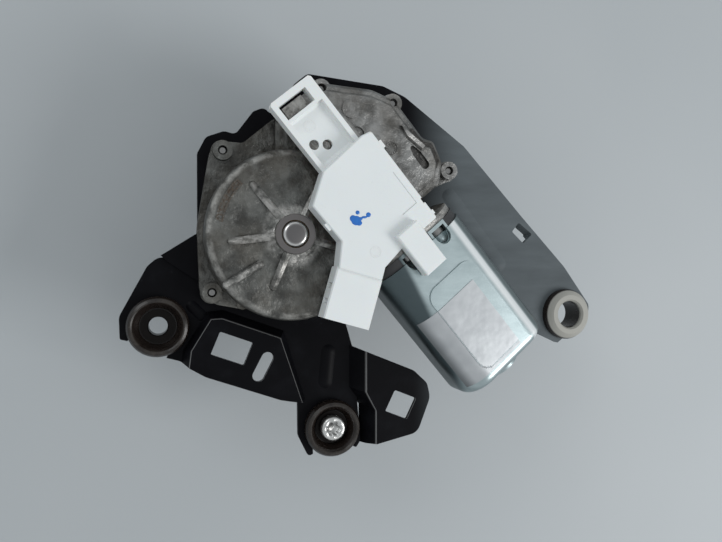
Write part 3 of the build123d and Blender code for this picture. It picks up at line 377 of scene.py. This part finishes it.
def cast_aluminium():
    """Die casting: grey metal with a warm, dirty skin, flow marks and fine pits, with painted highlights on the
    ribs, rim and wedge and painted shade in the pocket.
    """
    board = Board("cast_aluminium")
    swell = board.noise(13.0, 3.0, 0.5)
    flow = board.noise(6.0, 6.0, 0.62)
    grime = board.noise(20.0, 5.0, 0.6).between(0.38, 0.68)
    pits = board.noise(0.8, 3.0, 0.6)
    scuffs = board.noise(1.4, 6.0, 0.75).between(0.6, 0.70)
    x, y, z = board.axes()
    bay_side = (x + y).between(*bay_starts)
    radius = (x * x + y * y) ** 0.5
    machined = z.between(*machined_level) * (1.0 - radius.between(*machined_inside))
    patch = board.noise(9.0, 5.0, 0.6).between(0.30, 0.72)
    dark = board.mix(patch, (0.044, 0.044, 0.041), (0.150, 0.152, 0.143))
    bright = board.mix(patch, (0.095, 0.095, 0.091), (0.31, 0.31, 0.302))
    colour = board.mix(bay_side, dark, bright)
    colour = board.mix(grime * 0.45, colour, (0.075, 0.064, 0.050))
    colour = board.mix(scuffs * 0.35, colour, (0.42, 0.415, 0.40))
    # Painted highlights on the rib crests and the lobe's rim, broken up by the flow noise.
    rib_highlight = z.between(*rib_level)
    rim_highlight = radius.band(*lobe_rim) * z.between(*lobe_rim_level)
    highlight_breakup = flow.between(0.36, 0.62)
    colour = board.mix(rib_highlight * highlight_breakup * 0.8, colour, (0.42, 0.41, 0.39))
    colour = board.mix(rim_highlight * highlight_breakup * 0.6, colour, (0.36, 0.355, 0.335))
    outward, sideways, _ = board.axes(board.turned(plate_heading))
    plate = radius.band(*plate_ring) * outward.between(0.0, MM)
    plate = plate * (1.0 - sideways.size().between(*plate_half_length)) * pits.between(0.35, 0.6)
    colour = board.mix(plate * 0.75, colour, (0.075, 0.052, 0.036))
    # Painted shade on the pocket floor and a painted highlight on the wedge beside it.
    wedge_x, wedge_y = x - wedge_place[0], y - wedge_place[1]
    corner = 1.0 - ((wedge_x * wedge_x + wedge_y * wedge_y) ** 0.5).between(*wedge_reach)
    pocket_shade = corner * z.band(*pocket_floor)
    wedge_highlight = corner * z.between(*wedge_level)
    colour = board.mix(pocket_shade * 0.85, colour, (0.022, 0.020, 0.018))
    colour = board.mix(wedge_highlight * 0.6, colour, (0.40, 0.39, 0.375))
    colour = board.mix(machined, colour, (0.125, 0.118, 0.116))
    raised = (swell * 3.0 + flow * 1.3 + pits * 0.25) * (1.0 - machined)
    roughness = 0.33 + grime * 0.2 + machined * 0.12
    return board.surface(colour, roughness, board.bump(raised, 0.75), metallic=0.72)


def pivot_casting():
    board = Board("pivot_casting")
    flow = board.noise(6.0, 4.0, 0.6)
    pits = board.noise(0.7, 3.0, 0.6)
    colour = board.mix(flow, (0.26, 0.26, 0.255), (0.45, 0.45, 0.44))
    return board.surface(colour, 0.42, board.bump(pits, 0.09), metallic=0.8)


# %% Steel, zinc and copper
def plated(name, low, high, roughness, depth=0.02):
    """Plated or plain metal, with small and large clouds and a fine grain."""
    board = Board(name)
    marks = board.noise(5.0, 6.0, 0.62)
    cloud = board.noise(16.0, 3.0)
    grain = board.noise(0.5, 2.0)
    colour = board.mix(marks * 0.6 + cloud * 0.4, low, high)
    rough = roughness + marks * 0.16
    return board.surface(colour, rough, board.bump(grain, depth), metallic=0.92)


def can_zinc():
    """Blue-passivated zinc on a drawn can: streaks along the draw and a few dark specks, with painted shade on its
    left and far right sides and a painted highlight along the right edge.
    """
    board = Board("can_zinc")
    streaks = board.noise(4.0, 7.0, 0.65, board.turned(motor_angle, (0.16, 1.0, 1.0)))
    cloud = board.noise(20.0, 4.0, 0.6)
    specks = board.noise(1.1, 4.0, 0.7).between(0.69, 0.76)
    grain = board.noise(0.6, 3.0)
    along, across, _ = board.axes(board.turned(motor_angle, centre=tuple(motor_start)))
    # Painted shade on the can's left side and beyond its right edge, and a painted highlight along the right edge.
    shade_side = (0.0 - across - (along - can_shade_start) * can_shade_slope).between(*can_shade)
    right_side_shade = across.between(*can_right_shade)
    edge_highlight = across.band(*can_edge_highlight)
    colour = board.mix(streaks * 0.55 + cloud * 0.45, (0.20, 0.255, 0.265), (0.50, 0.575, 0.585))
    colour = board.mix(shade_side * 0.88, colour, (0.034, 0.050, 0.056))
    colour = board.mix(edge_highlight * 0.85, colour, (0.93, 0.95, 0.95))
    colour = board.mix(right_side_shade * 0.7, colour, (0.10, 0.125, 0.13))
    colour = board.mix(specks * 0.5, colour, (0.12, 0.12, 0.11))
    roughness = 0.26 + cloud * 0.16 + specks * 0.2
    return board.surface(colour, roughness, board.bump(grain, 0.025), metallic=0.9)


def shaft_steel():
    """Ground steel. The domed end is duller than its bright chamfer."""
    board = Board("shaft_steel")
    x, y, z = board.axes()
    radius = (x * x + y * y) ** 0.5
    dome = z.between(*shaft_dome_level) * (1.0 - radius.between(*shaft_dome_inside))
    marks = board.noise(1.4, 6.0, 0.7)
    colour = board.mix(marks, (0.42, 0.42, 0.415), (0.66, 0.655, 0.64))
    colour = board.mix(dome, colour, (0.135, 0.13, 0.13))
    grain = board.bump(board.noise(0.5, 2.0), 0.015)
    return board.surface(colour, 0.17 + dome * 0.2 + marks * 0.05, grain, metallic=0.95)


def winding():
    """Enamelled wire: close-set ridges with a resin sheen."""
    board = Board("winding")
    along, _, _ = board.axes(board.turned(motor_angle))
    wire = (along * wire_waves + board.noise(3.0) * 6.0).sine() * 0.5 + 0.5
    colour = board.mix(wire, (0.22, 0.06, 0.02), (0.62, 0.24, 0.08))
    return board.surface(colour, 0.3, board.bump(wire, 0.15), metallic=0.7, coat_weight=0.4)


def lamination():
    """Stack of steel sheets, one line for each sheet."""
    board = Board("lamination")
    along, _, _ = board.axes(board.turned(motor_angle))
    sheets = (along * sheet_waves).sine() * 0.5 + 0.5
    colour = board.mix(sheets, (0.10, 0.10, 0.105), (0.26, 0.26, 0.27))
    return board.surface(colour, 0.45, board.bump(sheets, 0.06), metallic=0.8)


# %% Plastic, rubber and board
def moulded(name, low, high, roughness, grain=0.6, depth=0.02, cloud=14.0, **sockets):
    """Moulded plastic or rubber: faint cloud, fine surface texture and a little dust."""
    board = Board(name)
    patches = board.noise(cloud, 4.0, 0.55)
    texture = board.noise(grain, 2.0)
    colour = board.mix(patches, low, high)
    return board.surface(colour, roughness + patches * 0.08, board.bump(texture, depth), **sockets)


def white_plastic():
    """Natural white nylon with handling marks and a trace of grey dirt."""
    board = Board("white_plastic")
    patches = board.noise(26.0, 4.0, 0.5)
    dirt = board.noise(4.0, 7.0, 0.7).between(0.6, 0.78)
    texture = board.noise(0.45, 2.0)
    colour = board.mix(patches, (0.765, 0.785, 0.78), (0.83, 0.84, 0.83))
    colour = board.mix(dirt * 0.22, colour, (0.44, 0.43, 0.39))
    bump = board.bump(texture, 0.025)
    return board.surface(colour, 0.42 + dirt * 0.1, bump, subsurface_weight=0.06)


def grommet_rubber():
    """Brown-black rubber with a wet-looking skin and a painted highlight on its rim."""
    board = Board("grommet_rubber")
    patches = board.noise(5.0, 4.0, 0.6)
    x, _, z = board.axes()
    # Painted highlight: a brown-grey ring on top of the rim.
    rim_highlight = z.between(*grommet_rim_level) * patches.between(0.3, 0.6)
    colour = board.mix(patches, (0.008, 0.006, 0.005), (0.018, 0.013, 0.011))
    peg_side = x.between(*peg_grommet_side) * z.between(*peg_grommet_level)
    colour = board.mix(rim_highlight * 0.35, colour, (0.075, 0.066, 0.055))
    colour = board.mix(peg_side * 0.9, colour, (0.38, 0.375, 0.34))
    roughness = 0.22 + patches * 0.1 + peg_side * 0.3
    bump = board.bump(board.noise(1.2, 3.0), 0.03)
    return board.surface(colour, roughness, bump, specular_ior_level=0.35)


def sintered_bronze():
    board = Board("sintered_bronze")
    pores = board.noise(0.35, 3.0, 0.7)
    colour = board.mix(pores, (0.26, 0.15, 0.06), (0.55, 0.38, 0.18))
    return board.surface(colour, 0.45, board.bump(pores, 0.04), metallic=0.85)


def board_green():
    """Lacquered circuit board with a hint of copper tracks below the lacquer."""
    board = Board("board_green")
    along, across, _ = board.axes(board.turned(motor_angle))
    tracks = ((along * track_waves).sine() * (across * track_waves).sine()).between(0.3, 0.5)
    colour = board.mix(tracks, (0.015, 0.12, 0.05), (0.05, 0.24, 0.09))
    return board.surface(colour, 0.25, board.bump(tracks, 0.03), coat_weight=0.5)


# %% Give every solid its finish
finishes = {
    "bracket_paint": bracket_paint(),
    "cast_aluminium": cast_aluminium(),
    "pivot_casting": pivot_casting(),
    "gasket": moulded("gasket", (0.012, 0.012, 0.012), (0.03, 0.03, 0.03), 0.6),
    "zinc_screw": plated("zinc_screw", (0.09, 0.09, 0.088), (0.36, 0.355, 0.345), 0.25),
    "sintered_bronze": sintered_bronze(),
    "washer_steel": plated("washer_steel", (0.34, 0.34, 0.34), (0.6, 0.6, 0.59), 0.25),
    "seal_rubber": moulded("seal_rubber", (0.012, 0.012, 0.012), (0.028, 0.027, 0.026), 0.4),
    "shaft_steel": shaft_steel(),
    "wheel_polymer": moulded("wheel_polymer", (0.50, 0.46, 0.34), (0.62, 0.58, 0.45), 0.4),
    "hub_steel": plated("hub_steel", (0.28, 0.28, 0.28), (0.5, 0.5, 0.49), 0.3),
    "magnet_ferrite": moulded("magnet_ferrite", (0.045, 0.045, 0.048), (0.09, 0.09, 0.095), 0.5),
    "worm_steel": plated("worm_steel", (0.42, 0.42, 0.42), (0.66, 0.66, 0.65), 0.2),
    "lamination": lamination(),
    "winding": winding(),
    "copper": plated("copper", (0.52, 0.25, 0.12), (0.80, 0.46, 0.27), 0.24),
    "insulator": moulded("insulator", (0.12, 0.045, 0.02), (0.22, 0.09, 0.045), 0.35),
    "can_zinc": can_zinc(),
    "card_plastic": moulded("card_plastic", (0.014, 0.014, 0.015), (0.028, 0.028, 0.03), 0.42),
    "carbon": moulded("carbon", (0.03, 0.03, 0.031), (0.06, 0.06, 0.062), 0.5),
    "spring_steel": plated("spring_steel", (0.35, 0.35, 0.34), (0.6, 0.6, 0.58), 0.25),
    "board_green": board_green(),
    "chip_black": moulded("chip_black", (0.016, 0.016, 0.018), (0.03, 0.03, 0.032), 0.45),
    "capacitor_sleeve": moulded("capacitor_sleeve", (0.03, 0.03, 0.06), (0.05, 0.05, 0.09), 0.25),
    "white_plastic": white_plastic(),
    "tin_plate": plated("tin_plate", (0.55, 0.54, 0.51), (0.78, 0.77, 0.73), 0.2),
    "choke_ferrite": moulded("choke_ferrite", (0.06, 0.055, 0.05), (0.14, 0.12, 0.10), 0.45),
    "grommet_rubber": grommet_rubber(),
    "spacer_black": plated("spacer_black", (0.003, 0.003, 0.003), (0.014, 0.012, 0.011), 0.22),
    "bolt_zinc": plated("bolt_zinc", (0.30, 0.30, 0.295), (0.66, 0.66, 0.64), 0.22, depth=0.06),
}
for part in frame["record"]["subparts"]:
    solid = nodes[part["node"]]
    for place in solid.material_slots:
        place.material = finishes[part["material_slot"]]
print(len(finishes), "finishes on", len(nodes), "solids")

# %% [markdown]
# ## Tools for modelling
# New pieces start from a primitive and are shaped with the operators that a person would use.
# An operator works on everything selected, and the loaded solids are all selected, so each
# piece begins with a clean selection. `keep_piece` applies what is left, names the piece,
# moves its place into its mesh and lets it ride on its body.


# %% Modelling helpers
def clear_selection():
    if bpy.context.object is not None and bpy.context.object.mode != "OBJECT":
        bpy.ops.object.mode_set(mode="OBJECT")
    bpy.ops.object.select_all(action="DESELECT")


def only(piece):
    clear_selection()
    piece.select_set(True)
    bpy.context.view_layer.objects.active = piece


def apply_modifiers(piece):
    only(piece)
    for step in list(piece.modifiers):
        bpy.ops.object.modifier_apply(modifier=step.name)


def modifier(piece, kind, **settings):
    added = piece.modifiers.new(kind.lower(), kind)
    for name, value in settings.items():
        setattr(added, name, value)


def in_edit_mode(piece, *steps):
    """Run mesh operators on all of a piece."""
    only(piece)
    bpy.ops.object.mode_set(mode="EDIT")
    bpy.ops.mesh.select_all(action="SELECT")
    for step, settings in steps:
        step(**settings)
    bpy.ops.object.mode_set(mode="OBJECT")


def join(pieces):
    clear_selection()
    for piece in pieces:
        piece.select_set(True)
    bpy.context.view_layer.objects.active = pieces[0]
    bpy.ops.object.join()
    return bpy.context.object


def copy_of(piece):
    """Copy with a mesh of its own, not parented to anything."""
    twin = piece.copy()
    twin.data = piece.data.copy()
    twin.parent = None
    for tag in [name for name in twin.keys() if name.startswith("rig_")]:
        del twin[tag]
    bpy.context.scene.collection.objects.link(twin)
    return twin


def keep_piece(piece, name, material, body="frame_unit", smooth=30.0):
    """Finish a piece: modifiers and place applied, finish set, riding on its body."""
    apply_modifiers(piece)
    bpy.ops.object.transform_apply(location=True, rotation=True, scale=True)
    bpy.ops.object.shade_smooth_by_angle(angle=math.radians(smooth))
    piece.name = name
    piece.data.name = name
    piece.data.materials.clear()
    piece.data.materials.append(material)
    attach(piece, body)
    clear_selection()
    print(name, "has", len(piece.data.polygons), "faces")


# %% [markdown]
# ## Label film
# A silver film is stuck on the can and runs round its left edge. It is bare here.
# A flat grid pressed onto the can by Shrinkwrap follows every rise of the metal, which
# is what a real film does, and Solidify gives it its thickness.

# %% Label film
label_start, label_end = 66.2, 104.6
label_left, label_right = -23.6, 8.2
film_rise = 0.12
film_thickness = 0.08
above_can = 46.0
label_middle = on_motor((label_start + label_end) / 2, (label_left + label_right) / 2, above_can)
clear_selection()
bpy.ops.mesh.primitive_grid_add(x_subdivisions=56, y_subdivisions=64, size=1.0, location=label_middle,
                                rotation=(0, 0, motor_angle))
label = bpy.context.object
label.scale = ((label_end - label_start) * MM, (label_right - label_left) * MM, 1.0)
bpy.ops.object.transform_apply(location=True, rotation=True, scale=True)
modifier(label, "SHRINKWRAP", target=nodes["motor_can"], wrap_method="PROJECT", use_project_z=True,
         use_negative_direction=True, use_positive_direction=False, offset=film_rise * MM)
modifier(label, "SOLIDIFY", thickness=film_thickness * MM, offset=1.0)


def label_film():
    """Satin silver film with slight waves and scuffs, and painted shade where it bends round the can's left edge.
    """
    board = Board("label_film")
    waves = board.noise(8.0, 2.0)
    scuffs = board.noise(2.2, 6.0, 0.7).between(0.6, 0.75)
    colour = board.mix(waves, (0.34, 0.355, 0.37), (0.50, 0.52, 0.53))
    colour = board.mix(scuffs * 0.25, colour, (0.36, 0.36, 0.36))
    _, across, _ = board.axes(board.turned(motor_angle, centre=tuple(motor_start)))
    # Painted shade where the film bends round the can's left edge.
    bend_shade = (0.0 - across).between(*label_bend_shade)
    colour = board.mix(bend_shade * 0.75, colour, (0.10, 0.11, 0.115))
    return board.surface(colour, 0.33 + scuffs * 0.2, board.bump(waves, 0.15), metallic=0.55)


keep_piece(label, "label_film", label_film())

# %% [markdown]
# ## Paint marks
# An inspector's dab of blue paint sits on the cover. Paint pools with round edges, so
# flattened balls are joined and remeshed into one skin, which melts them together.

# %% Paint marks
lid_height = 38.5
paint_rise = 0.22
# (x, y, half length, half width) of each dab, in millimetres
dabs = [
    (24.3, 5.6, 2.3, 2.1),
    (22.9, 6.4, 1.5, 1.5),
    (25.6, 4.6, 1.4, 1.2),
    (26.1, 6.4, 1.1, 0.8),
    (27.9, 7.1, 1.4, 0.55),
    (29.7, 8.2, 1.15, 1.1),
    (24.9, 9.0, 0.95, 0.95),
]
drops = []
for x, y, half_length, half_width in dabs:
    clear_selection()
    bpy.ops.mesh.primitive_uv_sphere_add(segments=24, ring_count=12, radius=1.0,
                                         location=(x * MM, y * MM, lid_height * MM))
    drop = bpy.context.object
    drop.scale = (half_length * MM, half_width * MM, paint_rise * MM)
    bpy.ops.object.transform_apply(location=True, rotation=True, scale=True)
    drops.append(drop)
paint = join(drops)
modifier(paint, "REMESH", mode="VOXEL", voxel_size=0.12 * MM)
modifier(paint, "SMOOTH", factor=0.6, iterations=4)


def paint_blue():
    board = Board("paint_blue")
    depth = board.noise(1.6, 3.0)
    colour = board.mix(depth, (0.004, 0.105, 0.42), (0.008, 0.165, 0.58))
    return board.surface(colour, 0.3, board.bump(depth, 0.05), coat_weight=0.3)


keep_piece(paint, "paint_marks", paint_blue(), smooth=60.0)

# %% [markdown]
# ## Moulded date clocks
# Tools for plastic and for castings leave a small round clock in the surface. Here it stays
# without any figures: a thin torus makes the ring, and twelve fine cylinders lie inside it as
# strokes. Half of each is sunk in the face, so that only a low relief stands proud.

# %% Where the clocks are
tab_floor = 31.6
bay_floor = 17.0
strokes = 12
# (x, y, level, radius, relief) in millimetres
cover_clocks = [(33.0, -7.6, lid_height, 2.4, 0.1), (5.8, 45.8, tab_floor, 2.5, 0.1)]
casting_clock = (47.7, 41.4, bay_floor, 2.9, 0.25)


# %% Date clocks
def clock(x, y, level, radius, relief):
    """Ring and strokes that stand a little proud of a face."""
    place = Vector((x, y, level)) * MM
    clear_selection()
    bpy.ops.mesh.primitive_torus_add(location=place, major_radius=radius * MM, minor_radius=relief * MM,
                                     major_segments=48, minor_segments=8)
    pieces = [bpy.context.object]
    for number in range(strokes):
        angle = number * math.tau / strokes
        heading = Vector((math.cos(angle), math.sin(angle), 0.0))
        bpy.ops.mesh.primitive_cylinder_add(vertices=8, radius=relief * 0.8 * MM,
                                            depth=radius * 0.34 * MM,
                                            location=place + heading * radius * 0.72 * MM,
                                            rotation=(0, math.pi / 2, angle))
        pieces.append(bpy.context.object)
    return join(pieces)


for number, sizes in enumerate(cover_clocks):
    keep_piece(clock(*sizes), f"cover_clock_{number + 1}", finishes["white_plastic"])
dirty_relief = plated("cast_relief", (0.030, 0.029, 0.027), (0.16, 0.157, 0.15), 0.34)
keep_piece(clock(*casting_clock), "casting_clock", dirty_relief)

# %% [markdown]
# ## Screw pockets of the can
# Behind each can screw the drawn metal dips into a smooth pocket. The solid is simply cut open
# there, so a bowl closes the cut: a ball is squeezed, two Bisects keep its lower and far part,
# and Solidify gives it the can's thickness.

# %% Screw pockets
pocket_start = 41.5
pocket_level = 34.4
pocket_length, pocket_width, pocket_depth = 4.6, 3.5, 3.6
pocket_sides = (-8.0, 10.0)
can_thickness = 0.4
cut_away_from = ((0, 0, 1), (-1, 0, 0))
for number, side in enumerate(pocket_sides):
    clear_selection()
    bpy.ops.mesh.primitive_uv_sphere_add(segments=40, ring_count=24, radius=1.0)
    bowl = bpy.context.object
    bowl.scale = (pocket_length * MM, pocket_width * MM, pocket_depth * MM)
    bpy.ops.object.transform_apply(location=False, rotation=False, scale=True)
    for outward in cut_away_from:
        cut = {"plane_co": (0, 0, 0), "plane_no": outward, "clear_outer": True}
        in_edit_mode(bowl, (bpy.ops.mesh.bisect, cut))
    bowl.rotation_euler = (0.0, 0.0, motor_angle)
    bowl.location = on_motor(pocket_start, side, pocket_level)
    modifier(bowl, "SOLIDIFY", thickness=can_thickness * MM, offset=-1.0)
    keep_piece(bowl, f"can_pocket_{number + 1}", finishes["can_zinc"], smooth=60.0)

# %% [markdown]
# ## Shoulder of the bracket
# Between the casting and the left fork the sheet runs on in one straight edge. The solid is
# notched there, so a plate covers the notch. It starts as a flat polygon just under the sheet's
# top, and its corners are pulled into place. They run clockwise, so the polygon faces down and
# Solidify builds the plate upwards from it. It stands above the sheet by nearly its thickness.

# %% Bracket shoulder
sheet_top = 2.5
shoulder_inset = 0.03
shoulder_corners = [
    (-54.9, -8.9),
    (-39.3, 1.2),
    (-38.4, 1.2),
    (-38.4, -20.5),
    (-44.0, -17.0),
    (-52.0, -11.5),
]
clear_selection()
bpy.ops.mesh.primitive_circle_add(vertices=len(shoulder_corners), radius=0.01, fill_type="NGON")
shoulder = bpy.context.object
for vertex, (x, y) in zip(shoulder.data.vertices, shoulder_corners):
    vertex.co = Vector((x, y, sheet_top - shoulder_inset)) * MM
modifier(shoulder, "SOLIDIFY", thickness=(sheet_top - 2 * shoulder_inset) * MM, offset=-1.0)
keep_piece(shoulder, "bracket_shoulder", finishes["bracket_paint"])

# %% [markdown]
# ## Threads and the knurled cone
# The solids carry plain cylinders where the spindle and the bolt are threaded. A copy of each
# solid takes its place here: a three-cornered ring is run up a helix by the Screw modifier,
# its ends are closed, and a Boolean cuts it out as the thread's groove. The outside stays at
# the size of the solid. The wiper arm's cone gets fine straight teeth in the same way.

# %% Thread and cone sizes, in millimetres
groove_depth_share, groove_shift_share = 0.53, 0.05
spindle_radius, spindle_pitch, spindle_thread = 4.0, 1.25, 11.25
cone_low, cone_high = 12.6, 22.0
cone_low_radius, cone_high_radius = 4.42, 5.02
tooth_count, tooth_radius = 30, 0.34
bolt_radius, bolt_pitch, bolt_thread = 3.0, 1.0, 14.0


# %% Threads
def thread_groove(x, y, radius, pitch, low, high):
    """Closed helical groove cutter about an upright axis."""
    clear_selection()
    bpy.ops.mesh.primitive_circle_add(vertices=3, radius=groove_depth_share * pitch * MM,
                                      fill_type="NOTHING")
    groove = bpy.context.object
    groove.rotation_euler = (0.0, 0.0, math.pi / 2)
    bpy.ops.object.transform_apply(location=False, rotation=True, scale=True)
    groove.rotation_euler = (math.pi / 2, 0.0, 0.0)
    groove.location = ((radius + groove_shift_share * pitch) * MM, 0.0, 0.0)
    bpy.ops.object.transform_apply(location=True, rotation=True, scale=True)
    turns = round((high - low) / pitch)
    modifier(groove, "SCREW", axis="Z", angle=math.tau, screw_offset=pitch * MM, iterations=turns,
             steps=32, render_steps=32, use_merge_vertices=True)
    apply_modifiers(groove)
    in_edit_mode(groove, (bpy.ops.mesh.fill_holes, {"sides": 0}),
                 (bpy.ops.mesh.normals_make_consistent, {"inside": False}))
    groove.location = (x * MM, y * MM, low * MM)
    bpy.ops.object.transform_apply(location=True, rotation=True, scale=True)
    return groove


def cone_teeth(low, high):
    """Ring of four-sided bars that cut the knurl of the wiper arm's cone."""
    length = high - low
    lean = math.atan2(cone_high_radius - cone_low_radius, length)
    middle_radius = (cone_high_radius + cone_low_radius) / 2
    middle = Vector((0.0, 0.0, (high + low) / 2))
    bars = []
    for number in range(tooth_count):
        angle = number * math.tau / tooth_count
        place = middle + Vector((math.cos(angle), math.sin(angle), 0.0)) * middle_radius
        bpy.ops.mesh.primitive_cylinder_add(vertices=4, radius=tooth_radius * MM, depth=length * MM,
                                            location=place * MM, rotation=(0, lean, angle))
        bars.append(bpy.context.object)
    return join(bars)


def cut_away(node_name, cutters, body):
    """Copy of a solid with the cutters taken out, shown in its place."""
    solid = nodes[node_name]
    piece = copy_of(solid)
    for cutter in cutters:
        modifier(piece, "BOOLEAN", object=cutter, operation="DIFFERENCE", solver="EXACT")
    material = solid.material_slots[0].material
    keep_piece(piece, f"{node_name}_dressed", material, body, smooth=35.0)
    for cutter in cutters:
        bpy.data.objects.remove(cutter)
    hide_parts(node_name)


spindle_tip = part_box("output_shaft")[0].z / MM
spindle_groove = thread_groove(0.0, 0.0, spindle_radius, spindle_pitch,
                               spindle_tip - spindle_pitch, spindle_tip + spindle_thread)
clear_selection()
arm_cone = cone_teeth(spindle_tip + cone_low, spindle_tip + cone_high)
cut_away("output_shaft", [spindle_groove, arm_cone], "output")

bolt_low, bolt_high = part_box("mounting_bolt")
bolt_middle = (bolt_low + bolt_high) / (2 * MM)
bolt_tip = bolt_low.z / MM
bolt_groove = thread_groove(bolt_middle.x, bolt_middle.y, bolt_radius, bolt_pitch,
                            bolt_tip - bolt_pitch, bolt_tip + bolt_thread)
cut_away("mounting_bolt", [bolt_groove], "frame_unit")

# %% Finish with the plain view transform
bpy.context.scene.view_settings.view_transform = "Standard"
